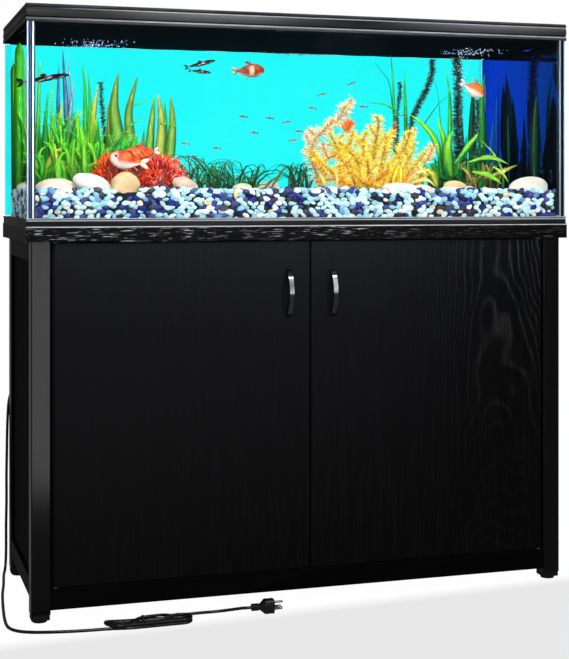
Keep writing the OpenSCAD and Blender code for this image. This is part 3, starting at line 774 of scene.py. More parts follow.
class Batch:
    """Collects many small closed shapes and their colours into one piece."""

    def __init__(self):
        self.verts, self.faces, self.tint = [], [], []

    def add(self, verts, faces, tints):
        start = len(self.verts)
        self.verts += [tuple(v) for v in verts]
        self.faces += [tuple(start + k for k in f) for f in faces]
        self.tint += list(tints)

    def piece(self, name, material, slot, *nodes):
        obj = mesh_object(name, self.verts, self.faces, material, tint=self.tint)
        if nodes:
            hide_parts(*nodes)
        return obj


def tinted(name, rough, mottle, bump, depth, painted_glow):
    """A living or stony surface: each shape's own colour, mottled, with a fine texture, and painted light:
    it shines in its own colour, though it is no lamp.
    """
    look = Look(name, Emission_Strength=painted_glow)
    scale, strength = mottle
    own = look.node("Attribute", attribute_name="tint").outputs["Color"]
    speck = look.noise(scale, (1, 1, 1), 4, 0.6)
    shade = look.ramp(speck, (0.25, (1 - strength,) * 3), (0.75, (1, 1, 1)))
    tone = look.mix(1.0, own, shade, "MULTIPLY")
    look.colour(tone)
    # painted light: the surface shines in its own colour
    look.to(tone, "Emission Color")
    look.rough(look.vary(speck, rough - 0.1, rough + 0.1))
    look.bump(look.noise(scale * 5, (1, 1, 1), 2), bump, depth)
    return look.material


def ball(levels):
    """Unit icosphere as (points, faces)."""
    bm = bmesh.new()
    bmesh.ops.create_icosphere(bm, subdivisions=levels, radius=1.0)
    points = np.array([v.co[:] for v in bm.verts])
    faces = [tuple(v.index for v in f.verts) for f in bm.faces]
    bm.free()
    return points, faces


def turn_matrix(rng):
    """A random rotation that mostly lies flat."""
    spin = Matrix.Rotation(rng.uniform(0, 2 * math.pi), 3, "Z")
    tip = Matrix.Rotation(rng.gauss(0, 0.35), 3, "X") @ Matrix.Rotation(rng.gauss(0, 0.35), 3, "Y")
    return np.array(tip @ spin)


PEBBLE_MIX = list(zip((0.33, 0.12, 0.16, 0.05, 0.02, 0.19, 0.13),
                      hues("cef2f8 f6fcfa 96d4e4 6098ce e8d8aa 102288 050c30")))
PAINTED_GAP_SHADE = srgb(2, 5, 22)  # painted shade in the gaps between pebbles
PEBBLE_ROWS, PEBBLE_STEP, PEBBLE_RISE = 8, 0.0158, 0.0089
EGG_X = -0.404  # the stone that stands against the front pane


def pebble_colour(rng, x, y, z):
    """Pale, blue or navy, with the navy ones gathered in drifts."""
    drift = math.sin(x * 47 + y * 31) * math.sin(z * 90 + x * 23 + 1.3)
    drift += 0.6 * math.sin(x * 19 - y * 41 + 0.7)
    total = 0
    pick = min(max(rng.random() + 0.13 * drift, 0), 0.999)
    for share, colour in PEBBLE_MIX:
        total += share
        if pick < total:
            return blend_colour(colour, (1, 1, 1), rng.uniform(0, 0.08))
    return PEBBLE_MIX[-1][1]


def gravel():
    """Pebbles against the glass and over the top of a dark core, a block of painted shade in place of the
    shaded pebbles deeper in the bed.
    """
    rng = random.Random(11)
    points, faces = ball(2)
    front, top = Batch(), Batch()

    def pebble(batch, at, size, turn, facing):
        knobs = 1 + 0.12 * np.sin(points * rng.uniform(1.5, 3) + rng.uniform(0, 6)).sum(1) / 2
        shape = (points * knobs[:, None] * np.array(size)) @ turn.T
        shape += np.array(at)
        shape[:, 0] = np.clip(shape[:, 0], -INNER_X + 0.0004, INNER_X - 0.0004)
        shape[:, 1] = np.clip(shape[:, 1], INNER_FRONT + 0.0004, INNER_BACK - 0.0004)
        shape[:, 2] = np.maximum(shape[:, 2], TANK_FLOOR + 0.0003)
        colour = pebble_colour(rng, *at)
        # painted shade: each pebble darkens where it turns away from the glass or the top, towards the
        # gaps
        turned = np.clip((0.3 - (points @ turn.T) @ np.array(facing)) / 0.5, 0, 0.93)
        batch.add(shape, faces, [blend_colour(colour, PAINTED_GAP_SHADE, t) for t in turned])

    def sized(low=6.4, high=11.4):
        a = rng.uniform(low, high) * MM
        return a, a * rng.uniform(0.62, 0.9), a * rng.uniform(0.5, 0.75)

    for wall, length in (("front", 1.196), ("left", 0.41)):
        across = int(length / PEBBLE_STEP)
        for row in range(PEBBLE_ROWS):
            for k in range(across):
                along = (k + 0.5 * (row % 2) + rng.uniform(-0.25, 0.25)) / across * length
                z = TANK_FLOOR + 0.004 + (row + rng.uniform(-0.2, 0.2)) * PEBBLE_RISE
                a, b, c = sized()
                tilt = rng.gauss(0, 0.5)
                depth = rng.uniform(0.0045, 0.0075)
                if wall == "front":
                    at = (-0.598 + along, INNER_FRONT + depth, z)
                    if math.hypot((at[0] - EGG_X) / 0.030, (z - 0.904) / 0.027) < 1:
                        continue
                    size, axis, facing = (a, b, c), "Y", (0, -1, 0)
                else:
                    at = (-INNER_X + depth, INNER_FRONT + along, z)
                    size, axis, facing = (b, a, c), "X", (-1, 0, 0)
                pebble(front, at, size, np.array(Matrix.Rotation(tilt, 3, axis)), facing)
    nx, ny = 66, 27
    for i in range(nx):
        for j in range(ny):
            x = -0.594 + (i + 0.5 * (j % 2) + rng.uniform(-0.3, 0.3)) / nx * 1.19
            y = INNER_FRONT + 0.006 + (j + 0.5 + rng.uniform(-0.3, 0.3)) / ny * 0.41
            lift = 0.002 * math.sin(x * 17 + 1) + 0.002 * math.sin(x * 43 + y * 20)
            at = (x, y, GRAVEL_Z - 0.006 + lift + rng.uniform(-0.002, 0.002))
            if math.hypot((x - EGG_X) / 0.034, (y + 0.186) / 0.02) > 1:
                pebble(top, at, sized(7, 12), turn_matrix(rng), (0, -0.6, 0.8))
    look = tinted("pebbles", 0.28, (240, 0.2), 0.2, 0.0004, 0.22)
    front.piece("pebbles_wall", look, "gravel", "gravel_bed")
    top.piece("pebbles_top", look, "gravel", "gravel_bed")
    left, near, low = -INNER_X + 0.006, INNER_FRONT + 0.006, TANK_FLOOR + 0.0005
    right, far, high = INNER_X - 0.001, INNER_BACK - 0.001, GRAVEL_Z - 0.008
    verts, quads = loft([[(left, near, z), (right, near, z), (right, far, z), (left, far, z)]
                         for z in (low, high)])
    # painted shade: a dark block that fills the bed under the pebbles
    core, _ = clouded("gravel_shade_core", (90,), "05080e 101a2c", Roughness=0.8)
    mesh_object("gravel_shade_core", verts, quads, core.material, smooth=False)


def stone(name, at, size, colours, seed, tip):
    """A worn river stone half sunk in the gravel."""
    rng = random.Random(seed)
    points, faces = ball(4)
    grow = np.ones(len(points))
    for k in range(7):
        way = np.array([rng.gauss(0, 1) for _ in range(3)])
        grow += 0.05 * rng.uniform(0.4, 1) * np.sin(points @ way * rng.uniform(0.8, 2.4) + k)
    turn = np.array(Matrix.Rotation(rng.uniform(-0.2, 0.2), 3, "Z") @ Matrix.Rotation(tip, 3, "Y"))
    shape = (points * grow[:, None] * np.array(size) * MM) @ turn.T + np.array(at) * MM
    look = Look(name + "_stone", Roughness=0.5)
    vein = look.noise(16, (1, 1, 2.5), 5, 0.6, 0.8)
    dark, light, speckle = hues(colours)
    tone = look.ramp(vein, (0.3, dark), (0.62, light))
    dots = look.remap(look.noise(300, (1, 1, 1), 2), 0.62, 0.72, 0.0, 0.6)
    look.colour(look.mix(dots, tone, speckle))
    look.rough(look.vary(vein, 0.35, 0.6))
    look.bump(look.noise(140, (1, 1, 1), 3), 0.25, 0.0008)
    obj = mesh_object("stone_" + name, shape, faces, look.material)
    return obj


def stones():
    """River stones, each with a dark, a light and a speckle colour."""
    white, warm, sand = "d6d0c4 f2eee4 bcae96", "d6bea8 f0e0ce ba967e", "c8a470 e8cc9c a0784c"
    pink, moss = "c49e84 e2c4ae 9e6e54", "96a86e d6e0b4 607c42"
    made = [stone(*row) for row in (
        ("left", (-536, -96, 897), (47, 30, 23), warm, 1, 0.02),
        ("broad", (-460, -126, 900), (48, 29, 23), white, 2, 0.42),
        ("far", (-580, 60, 897), (20, 30, 17), white, 11, 0.0),
        ("egg", (-404, -184, 903), (30, 17.5, 28), sand, 3, -0.3),
        ("pink", (-252, -84, 902), (30, 22, 19), pink, 4, 0.4),
        ("moss", (-102, -20, 899), (23, 16, 11), moss, 5, 0.0),
        ("rose", (-16, 84, 900), (30, 18, 15), pink, 6, -0.1),
        ("shelf", (246, -120, 898), (44, 24, 13), white, 7, 0.03),
        ("chip", (310, -100, 897), (23, 16, 10), warm, 8, 0.1),
        ("middle", (416, -44, 899), (31, 20, 19), sand, 10, 0.05),
        ("right", (544, -165, 901), (53, 25, 24), white, 9, -0.05),
    )]
    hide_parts("river_stones")


def spikes(batch, bases, ways, lengths, radii, low, high, rng, sides, bend,
           steps=((0, 1.0), (0.55, 0.8), (0.9, 0.5)), fade=1.3):
    """Tapered curved fingers, dark at the foot and pale at the tip."""
    for n, (base, way, length, r) in enumerate(zip(bases, ways, lengths, radii)):
        way = Vector(way).normalized()
        side = way.orthogonal().normalized()
        up = way.cross(side)
        lean = (side * rng.uniform(-1, 1) + up * rng.uniform(-1, 1)) * bend
        base = Vector(base)
        tip = high[n % len(high)]
        verts, tints = [], []
        for t, width in steps:
            mid = base + way * length * t + lean * length * t * t
            for k in range(sides):
                a = 2 * math.pi * k / sides
                verts.append(mid + (math.cos(a) * side + math.sin(a) * up) * r * width)
                tints.append(blend_colour(low, tip, t ** fade))
        verts.append(base + way * length + lean * length)
        tints.append(tip)
        last = (len(steps) - 1) * sides
        faces = [(i + k, i + (k + 1) % sides, i + sides + (k + 1) % sides, i + sides + k)
                 for i in range(0, last, sides) for k in range(sides)]
        faces += [(last + k, last + (k + 1) % sides, last + sides) for k in range(sides)]
        faces.append(tuple(range(sides))[::-1])
        batch.add(verts, faces, tints)


def red_coral():
    """Three low domes of branching red fingers with orange and pale tips."""
    rng = random.Random(21)
    batch = Batch()
    dark = srgb(196, 24, 4)
    orange = hues("ff6e1e fa3c14 ffa03c f02c0e")
    pale = hues("ff6e50 ffc8b4 f43214 fa5028")
    domes = [((-398, -12, 896), (54, 34, 84), orange, 620), ((-348, -6, 896), (50, 34, 88), orange, 360),
             ((-288, -10, 896), (54, 36, 78), pale, 560)]
    for centre, size, tips, count in domes:
        bases, ways, lengths, radii = [], [], [], []
        for _ in range(count):
            u = rng.uniform(0, 2 * math.pi)
            w = rng.random()
            flat = math.sqrt(1 - w * w)
            d = Vector((flat * math.cos(u), flat * math.sin(u), w))
            lump = 1 + 0.10 * math.sin(5 * u + 3 * w) + rng.uniform(-0.16, 0.05)
            bases.append([(centre[i] + d[i] * size[i] * 0.82 * lump) * MM for i in range(3)])
            ways.append(d + Vector((rng.gauss(0, 0.35), rng.gauss(0, 0.35), 0.35 + rng.gauss(0, 0.3))))
            lengths.append(rng.uniform(11, 22) * MM)
            radii.append(rng.uniform(1.5, 2.4) * MM)
        spikes(batch, bases, ways, lengths, radii, dark, tips, rng, 4, 0.3)
        points, faces = ball(3)
        shape = points * np.array(size) * MM * 0.84
        shape[:, 2] = np.maximum(shape[:, 2], -0.004)
        batch.add(shape + np.array(centre) * MM, faces, hues("780c04") * len(shape))
    look = tinted("coral_red", 0.42, (200, 0.25), 0.2, 0.0005, 0.16)
    batch.piece("coral_red_fingers", look, "coral_red", "coral_red")


def brush_stem(batch, rng, route, reach, count, foot, tips, thin, stem_r, stem, up=0.25):
    """A bending stem ringed with fine needles, like a bottle brush."""
    path = smooth_route(mm(route), 0.006)
    n = len(path)
    bases, ways, lengths, radii = [], [], [], []
    for k in range(count):
        t = (k + rng.random()) / count
        i = min(int(t * (n - 1)), n - 2)
        at = path[i].lerp(path[i + 1], t * (n - 1) - i)
        along = (path[i + 1] - path[i]).normalized()
        side = along.orthogonal().normalized()
        a = rng.uniform(0, 2 * math.pi)
        out = side * math.cos(a) + along.cross(side) * math.sin(a)
        bases.append(at)
        ways.append(out + along * rng.uniform(0, 2 * up))
        width = reach(t) if callable(reach) else reach
        lengths.append(width * rng.uniform(0.75, 1.1) * MM)
        radii.append(thin * rng.uniform(0.8, 1.2) * MM)
    spikes(batch, bases, ways, lengths, radii, foot, tips, rng, 3, 0.2,
           ((0, 1.0), (0.3, 0.9), (0.7, 0.6)), 0.5)
    rings, tints = [], []
    side = Vector((0.3, 1, 0.1))
    for i, p in enumerate(path):
        along = (path[min(i + 1, n - 1)] - path[max(i - 1, 0)]).normalized()
        side = (side - along * side.dot(along)).normalized()
        over = along.cross(side)
        r = stem_r * (1 - 0.6 * i / n) * MM
        rings.append([p + (side * math.cos(a) + over * math.sin(a)) * r
                      for a in (0, 1.05, 2.09, 3.14, 4.19, 5.24)])
        tints += [stem] * 6
    verts, faces = loft(rings)
    batch.add(verts, faces, tints)


def rows(table):
    """Each line of a table as its plain words and its x,y,z points in millimetres."""
    for line in table.strip().splitlines():
        words = line.split()
        yield ([w for w in words if "," not in w],
               [tuple(float(v) for v in w.split(",")) for w in words if "," in w])


CORAL_TIPS = {
    "gold": hues("fff85a ffee32 fffda0 fae22c"), "cream": hues("faf0be fff8aa fffdeb deaa64"),
    "orange": hues("fab428 f6d246 ff9628 fce464"), "ember": hues("fa6e28 ff963c ec501e ffb45a"),
    "brown": hues("be6e3c ecbe82 964628 d29664"),
}
# bristle length, bristle count, tips, then the branch's route
BRANCHES = """
24 420 cream 96,14,900 75,10,964 72,7,988 78,4,1007 97,1,1031 114,-2,1050 136,-5,1058
23 190 cream 128,-2,1050 147,-2,1075 156,-3,1094
16 260 ember 146,-12,1036 160,-13,1050 164,-14,1056
24 430 gold 214,26,895 201,20,929 185,12,965 161,3,989 136,-5,1006
18 200 gold 150,2,990 166,-2,1010 169,-5,1034
17 220 gold 150,12,960 134,4,994 122,-2,1012 108,-14,1028
24 560 gold 220,18,892 223,16,929 229,12,973 233,8,1014 238,4,1046 233,0,1070
13 300 brown 252,40,900 268,40,967 284,40,1011 293,40,1036 293,40,1058
23 520 gold 250,14,892 258,10,927 276,5,956 294,0,985 310,-5,1017 312,-10,1034
14 260 cream 304,44,930 318,44,972 336,44,1012 348,44,1046
19 330 gold 290,14,892 314,10,930 338,4,961 352,-2,981 368,-8,1000
14 300 orange 176,14,930 150,8,962 131,2,976 103,-6,966 74,-14,952
17 320 gold 170,6,900 152,5,914 119,-1,936 92,-8,957 72,-14,972
15 260 orange 180,2,898 132,-7,919 100,-13,918 76,-18,913
20 300 gold 216,30,895 203,30,949 207,30,980 215,30,1012
18 300 gold 280,30,895 296,30,920 322,30,962 336,30,989 341,30,1011
14 240 orange 200,-10,894 216,-20,912 236,-22,926 252,-24,940
14 240 orange 240,-8,894 216,-18,902 188,-22,912 170,-24,930
20 330 gold 236,24,892 250,24,950 262,24,1000 262,24,1030
22 300 gold 190,22,892 176,18,940 172,14,985
20 260 gold 262,0,892 272,-6,930 288,-10,964
22 260 gold 206,0,892 210,-4,930 204,-8,972
18 200 orange 160,10,892 146,4,920 136,0,948
18 220 gold 316,0,892 336,-4,920 350,-8,946
16 140 cream 108,-6,970 98,-10,990 92,-12,1004
16 150 gold 176,-6,1000 196,-10,1016 202,-12,1034
15 150 orange 110,6,930 96,0,944 84,-6,960
15 150 cream 352,-8,960 366,-10,985 374,-12,1004
"""
# width, tips and which of them, then the leaf's route
CORAL_LEAVES = """
12 gold 1 262,-22,896 268,-24,925 276,-26,952
11 gold 0 280,-22,898 284,-26,925 282,-28,948
12 gold 2 290,-20,900 316,-26,930 338,-28,940 352,-28,930
11 orange 0 292,-22,898 322,-28,916 348,-32,920 366,-34,904
9 orange 2 270,-20,896 300,-26,922 322,-30,944
10 gold 0 100,-20,896 92,-24,915 80,-26,934
9 gold 2 120,-20,896 126,-24,918 118,-26,938
"""


def yellow_coral():
    """A bush of bottle-brush branches, cream at the upper left, orange at the foot."""
    rng = random.Random(31)
    batch = Batch()
    foot = srgb(176, 108, 2)
    cores = {"cream": srgb(190, 120, 70), "brown": srgb(140, 56, 30)}
    for (reach, count, tone), route in rows(BRANCHES):
        reach, tips, core = int(reach), CORAL_TIPS[tone], cores.get(tone, srgb(176, 100, 8))
        spread = lambda t, r=min(reach, 23): r * (0.85 + 0.35 * math.sin(math.pi * min(t * 1.1, 1)))
        brush_stem(batch, rng, route, spread, int(int(count) * 0.7), foot, tips, 1.2, 2.2, core)
        path = smooth_route(route, 8)
        for _ in range(len(path) // 4 if reach > 16 else 0):
            start = path[int(len(path) * rng.uniform(0.1, 0.85))]
            lean = rng.choice((-1, 1)) * rng.uniform(10, 24)
            up = rng.uniform(14, 26)
            twig = [tuple(start), tuple(start + Vector((lean * 0.6, rng.uniform(-6, 6), up * 0.5))),
                    tuple(start + Vector((lean, rng.uniform(-10, 10), up)))]
            brush_stem(batch, rng, twig, 16, 50, foot, tips, 1.1, 1.5, core, 0.3)
    for (width, tone, k), route in rows(CORAL_LEAVES):
        blade(batch, route, int(width), CORAL_TIPS["orange"][2], CORAL_TIPS[tone][int(k)],
              CORAL_TIPS["cream"][0], "sword", (0.8, 0, 0.5))
    look = tinted("coral_yellow", 0.45, (150, 0.2), 0.2, 0.0005, 0.3)
    batch.piece("coral_yellow_brushes", look, "coral_yellow", "coral_yellow")


# ---------- leaves ----------

PROFILES = {
    "sword": lambda t: 0.30 + 0.70 * math.sin(math.pi * min(t / 0.8, 1) / 2) if t < 0.4
    else max(1 - ((t - 0.4) / 0.6) ** 1.7, 0.0),
    "grass": lambda t: max((1 - t) ** 0.55, 0.0) * (0.75 + 0.25 * min(t * 5, 1)),
    "strap": lambda t: (0.8 + 0.2 * t) * (1 if t < 0.9 else max(1 - ((t - 0.9) / 0.1) ** 2, 0.0)),
    "oval": lambda t: 0.12 + 0.88 * math.sin(math.pi * t) ** 0.8 if t < 0.97 else 0.05,
}


def blade(batch, route, width, foot, tip, rib=None, profile="sword", facing=(1, 0.15, 0),
          twist=0.0, step=0.012, fold=0.18, streak=0.0, rng=None):
    """A leaf along its midrib: a thin folded lens with its own base, tip and rib colours."""
    path = smooth_route(mm(route), step)
    n = len(path)
    shape = PROFILES[profile]
    rings, tints = [], []
    for i, p in enumerate(path):
        t = i / (n - 1)
        along = (path[min(i + 1, n - 1)] - path[max(i - 1, 0)]).normalized()
        turned = Matrix.Rotation(twist * t, 3, "Z") @ Vector(facing)
        across = (turned - along * turned.dot(along)).normalized()
        out = along.cross(across)
        w = max(width / 2 * shape(t), 0.25) * MM
        h = (0.5 + 0.25 * (1 - t)) * MM
        rings.append([p + across * u * w + out * (v * h + abs(u) * w * fold)
                      for u, v in ((-1, 0), (-0.5, 0.7), (0, 1), (0.5, 0.7), (1, 0), (0, -1))])
        side = blend_colour(foot, tip, t)
        if rng and streak:
            side = blend_colour(side, (0.01, 0.03, 0.01), streak * rng.random())
        mid = blend_colour(side, rib, 0.6 * (1 - t * 0.5)) if rib else side
        tints += [side, blend_colour(side, mid, 0.4), mid, blend_colour(side, mid, 0.4), side, side]
    verts, faces = loft(rings)
    batch.add(verts, faces, tints)


LEAF = dict(zip(
    "lime grass mid deep dark olive gold cream teal blue pale neon tan brown".split(),
    hues("82e22c 40c42c 28a034 105c22 08301a 809628 bec846 ecec96 1e826e 6078be 96b0dc 54e214"
         " bea660 6e4a24")))


def arching(rng, x, y, z, height, lean, curl):
    """A route that rises from a root and bends over."""
    a = rng.uniform(0, 2 * math.pi)
    dx, dy = math.cos(a) * lean, math.sin(a) * lean * 0.6
    out = []
    for k in range(5):
        t = k / 4
        out.append((min(max(x + dx * t ** 1.6, -598), 598), min(max(y + dy * t ** 1.6, -190), 212),
                    z + height * (t - curl * t ** 3)))
    return out


def clump(batch, rng, count, xs, ys, heights, width, colours, lean=40, profile="grass",
          curl=0.3, rib=None):
    """Many leaves scattered over a patch, each in one of the foot-tip colours."""
    for _ in range(count):
        x, y = rng.uniform(*xs), rng.uniform(*ys)
        foot, tip = rng.choice(colours.split()).split("-")
        h = rng.uniform(*heights)
        blade(batch, arching(rng, x, y, 892, h, lean * rng.uniform(0.3, 1.2), curl),
              width * rng.uniform(0.7, 1.2), LEAF[foot], LEAF[tip], rib and LEAF[rib], profile,
              (math.cos(rng.uniform(-0.7, 0.7)), math.sin(rng.uniform(-0.7, 0.7)), 0),
              rng.uniform(-1, 1), 0.02)


def leaves(batch, rng, table):
    """Single leaves from a table."""
    for (width, foot, tip, rib, outline, *more), route in rows(table):
        facing, streak = (1, 0.15, 0), 0.0
        for word in more:
            if "/" in word:
                facing = tuple(float(v) for v in word.split("/"))
            else:
                streak = float(word)
        blade(batch, route, float(width), LEAF[foot], LEAF[tip], LEAF.get(rib), outline, facing,
              streak=streak, rng=rng)


def hornwort(batch, rng, table):
    """Stems crowded with short dark needles, some catching the light."""
    tips = hues("0a281e 123c28 96c8be 061816")
    for (radius, count), route in rows(table):
        brush_stem(batch, rng, route, int(radius), int(int(count) * 1.3), srgb(4, 22, 18), tips,
                   0.95, 1.8, srgb(6, 30, 22), 0.15)


# width, foot, tip, rib, outline, the way it faces or how streaky it is, then the leaf's route
LEFT_LEAVES = """
22 grass neon . strap 0.2 -588,130,890 -588,131,1060 -589,130,1150 -589,128,1231
17 dark mid . strap -592,206,890 -592,206,1060 -593,206,1190
14 deep grass . sword -592,168,890 -593,168,1040 -594,168,1165
9 deep lime . grass -593,190,890 -595,190,1010 -597,190,1200
9 deep lime . grass -588,200,890 -590,200,1010 -592,200,1180
9 deep lime . grass -590,176,890 -592,176,1010 -594,176,1150
9 deep lime . grass -568,170,890 -570,170,1010 -572,170,1210
9 deep lime . grass -552,140,890 -554,140,1010 -556,140,1150
9 deep lime . grass -558,110,890 -560,110,1010 -562,110,1120
15 deep lime . grass -548,130,890 -546,130,1067 -542,130,1195
14 mid grass . grass -534,120,890 -532,118,1020 -526,118,1120
10 mid lime . grass -520,150,890 -514,150,1040 -512,150,1150
15 teal blue pale sword 0.5 -470,150,890 -480,150,1100 -484,150,1160 -488,150,1226
10 teal pale pale sword -462,155,890 -468,155,1080 -474,155,1212
12 teal blue pale sword 0.4 -490,150,890 -498,150,1080 -496,150,1190
13 deep pale pale sword -480,140,890 -474,140,1040 -462,140,1150
16 olive gold cream sword -504,120,890 -500,120,1030 -492,120,1100
13 mid grass lime sword -436,140,890 -437,140,1100 -444,140,1190
12 mid grass lime sword -424,140,890 -426,140,1100 -431,140,1174
20 olive gold cream sword -426,120,890 -424,120,1030 -411,120,1138
34 mid olive gold sword 0.3 -350,112,890 -362,112,1000 -374,112,1090 -364,112,1168
16 deep olive . sword -378,116,890 -384,116,1000 -388,116,1100
27 mid olive gold sword 0.3 -326,112,890 -336,112,1016 -339,112,1080 -319,112,1160
24 mid olive gold sword -292,140,890 -282,140,1030 -273,140,1116
27 olive gold cream sword 0.3 -268,140,890 -256,140,1040 -265,140,1124
25 mid olive gold sword -244,140,890 -230,140,1040 -235,140,1118
14 deep mid . sword -252,150,890 -244,150,1040 -247,150,1104
14 deep mid . sword -306,130,890 -304,130,980 -300,130,1040
4.5 mid grass . grass 0/0.2/1 -330,100,1090 -300,98,1100 -282,96,1098
4.5 mid grass . grass 0/0.2/1 -345,100,1040 -318,98,1056 -290,96,1058
4.5 mid grass . grass 0/0.2/1 -262,130,1052 -238,128,1050 -220,126,1044
"""
CENTRE_LEAVES = """
8 deep olive gold sword -28,20,892 -8,18,922 10,16,952
8 deep olive gold sword -40,30,892 -20,30,916 4,30,930
"""
RIGHT_LEAVES = """
13 deep grass lime grass 348,170,890 346,170,1020 341,170,1160 334,168,1236
13 deep grass . sword 380,175,890 378,175,1050 373,175,1198
4 mid deep . grass 346,180,1080 335,180,1163 317,180,1190 296,180,1216
6 mid grass . grass 0/0.2/1 346,165,1096 311,165,1111 272,165,1114
19 mid lime . sword 0.7/0.1/0.7 430,60,930 412,60,1010 380,60,1052 341,60,1080
24 deep lime gold sword 450,50,900 436,50,985 424,50,1030 408,48,1072
30 deep lime gold sword 446,30,900 432,30,960 430,28,1010 440,26,1040
14 mid grass lime sword 476,123,890 475,123,1047 474,123,1130 463,123,1200
4 deep mid . grass 456,120,940 443,120,1122 427,120,1180
4 deep mid . grass 0/0.2/1 409,130,1062 444,130,1108 472,130,1132
30 deep mid grass sword 580,149,890 577,149,1050 575,149,1112 582,149,1192
26 dark deep . sword 562,186,890 566,188,1040 570,190,1170
20 dark deep . sword 538,196,890 540,198,1040 536,200,1120
24 dark deep . sword 0.3/1/0 590,90,890 588,92,1010 590,96,1130
34 dark dark . sword 584,-124,890 586,-122,990 590,-118,1120
22 dark dark . sword 596,-96,890 594,-96,980 588,-92,1050
20 dark deep . sword 0.2/1/0 592,30,890 592,30,980 590,34,1080
6 teal pale . grass 596,170,890 593,170,1040 594,170,1168
17 mid lime . sword 0.7/0/-0.7 452,40,960 485,40,1000 513,40,1034
22 olive gold cream oval 0.4/0/0.9 396,20,900 386,20,932 366,20,948
6 lime gold cream grass 0.6/0/0.7 572,20,940 545,20,985 510,20,1018
13 mid lime gold sword 0/0.2/1 470,10,962 518,10,975 551,10,971 580,10,959
10 tan gold cream sword 0/0.2/1 510,0,925 558,0,940 583,0,951 600,0,957
15 grass lime gold sword 0/0.2/1 474,-10,940 513,-10,933 534,-10,923 552,-12,910
8 gold lime cream sword 0.5/0/0.8 524,-20,953 552,-20,934 564,-20,914
"""
# needle length, needle count, then the stem's route
RIGHT_STEMS = """
8 640 352,160,900 348,160,1078 356,160,1139 354,160,1166
12 900 380,150,1000 385,150,1072 423,150,1150 438,150,1191 438,150,1224
17 1500 507,147,900 506,147,1032 506,147,1084 508,147,1146 504,147,1229
9 620 533,104,900 535,104,996 541,104,1082 538,104,1122
"""


def left_plants():
    """Straps, broad blades and a thicket of grass at the left."""
    rng = random.Random(41)
    batch = Batch()
    leaves(batch, rng, LEFT_LEAVES)
    greens = "deep-grass mid-lime deep-mid dark-grass"
    bright = "deep-lime dark-lime deep-neon dark-grass deep-gold"
    broad = "dark-grass deep-lime dark-mid deep-olive mid-lime"
    for row in (
            (46, (-585, -500), (40, 150), (60, 190), 9, greens, 26),
            (64, (-570, -400), (70, 140), (150, 290), 10, bright, 60, "grass", 0.35),
            (66, (-480, -330), (60, 110), (100, 240), 6, bright, 100, "grass", 0.4),
            (30, (-578, -400), (50, 140), (170, 270), 22, broad, 44, "sword", 0.3, "lime"),
            (56, (-575, -420), (-10, 60), (80, 180), 17, bright, 50, "sword", 0.35),
            (70, (-560, -380), (-20, 60), (50, 130), 6, bright, 80, "grass", 0.5),
            (34, (-560, -400), (-30, 40), (30, 110), 20, greens, 34, "oval", 0.35),
            (30, (-445, -345), (30, 80), (110, 175), 26, "deep-mid dark-mid deep-grass", 30, "oval", 0.25),
            (20, (-590, -560), (0, 180), (30, 120), 8, "dark-deep", 18)):
        clump(batch, rng, *row)
    hornwort(batch, rng, "9 460 -388,125,940 -396,125,1040 -400,125,1090 -404,125,1144")
    look = tinted("leaves_left", 0.38, (70, 0.28), 0.2, 0.0006, 0.16)
    batch.piece("plants_left_leaves", look, "leaf_green", "plants_left")


def centre_plants():
    """Low sprawling grass between the corals."""
    rng = random.Random(43)
    batch = Batch()
    greens = "dark-deep dark-olive dark-deep brown-deep deep-mid"
    for row in (
            (34, (-210, -130), (10, 70), (80, 190), 5.2, greens, 130, "grass", 0.72),
            (34, (-150, -50), (10, 90), (70, 160), 5.0, greens, 100, "grass", 0.72),
            (26, (-200, -60), (10, 80), (30, 80), 3.6, greens, 60, "grass", 0.5),
            (20, (-190, -60), (10, 70), (20, 60), 6, greens, 40, "oval", 0.4),
            (34, (20, 84), (10, 70), (70, 160), 5.0, greens, 84, "grass", 0.7)):
        clump(batch, rng, *row)
    leaves(batch, rng, CENTRE_LEAVES)
    clump(batch, rng, 24, (84, 340), (-60, -20), (12, 34), 5, "brown-tan deep-olive brown-gold", 26,
          curl=0.5)
    look = tinted("leaves_centre", 0.42, (70, 0.3), 0.2, 0.0006, 0.1)
    batch.piece("plants_centre_leaves", look, "leaf_green", "plants_centre")


def right_plants():
    """Swords, dark blades by the mirror film and hornwort at the right."""
    rng = random.Random(47)
    batch = Batch()
    leaves(batch, rng, RIGHT_LEAVES)
    greens = "dark-deep deep-mid dark-mid deep-grass"
    for row in (
            (70, (400, 575), (20, 130), (50, 150), 8, greens, 60, "grass", 0.4),
            (40, (400, 560), (0, 90), (30, 100), 20, greens, 44, "oval", 0.3),
            (26, (450, 560), (0, 60), (50, 110), 12, "brown-tan brown-olive deep-olive", 40, "sword"),
            (40, (520, 592), (60, 190), (60, 190), 10, "dark-deep", 30),
            (16, (460, 596), (120, 200), (120, 260), 9, "dark-deep deep-mid", 24)):
        clump(batch, rng, *row)
    hornwort(batch, rng, RIGHT_STEMS)
    look = tinted("leaves_right", 0.38, (70, 0.28), 0.2, 0.0006, 0.14)
    batch.piece("plants_right_leaves", look, "leaf_green", "plants_right")


# ---------- fish, bubbles and water ----------


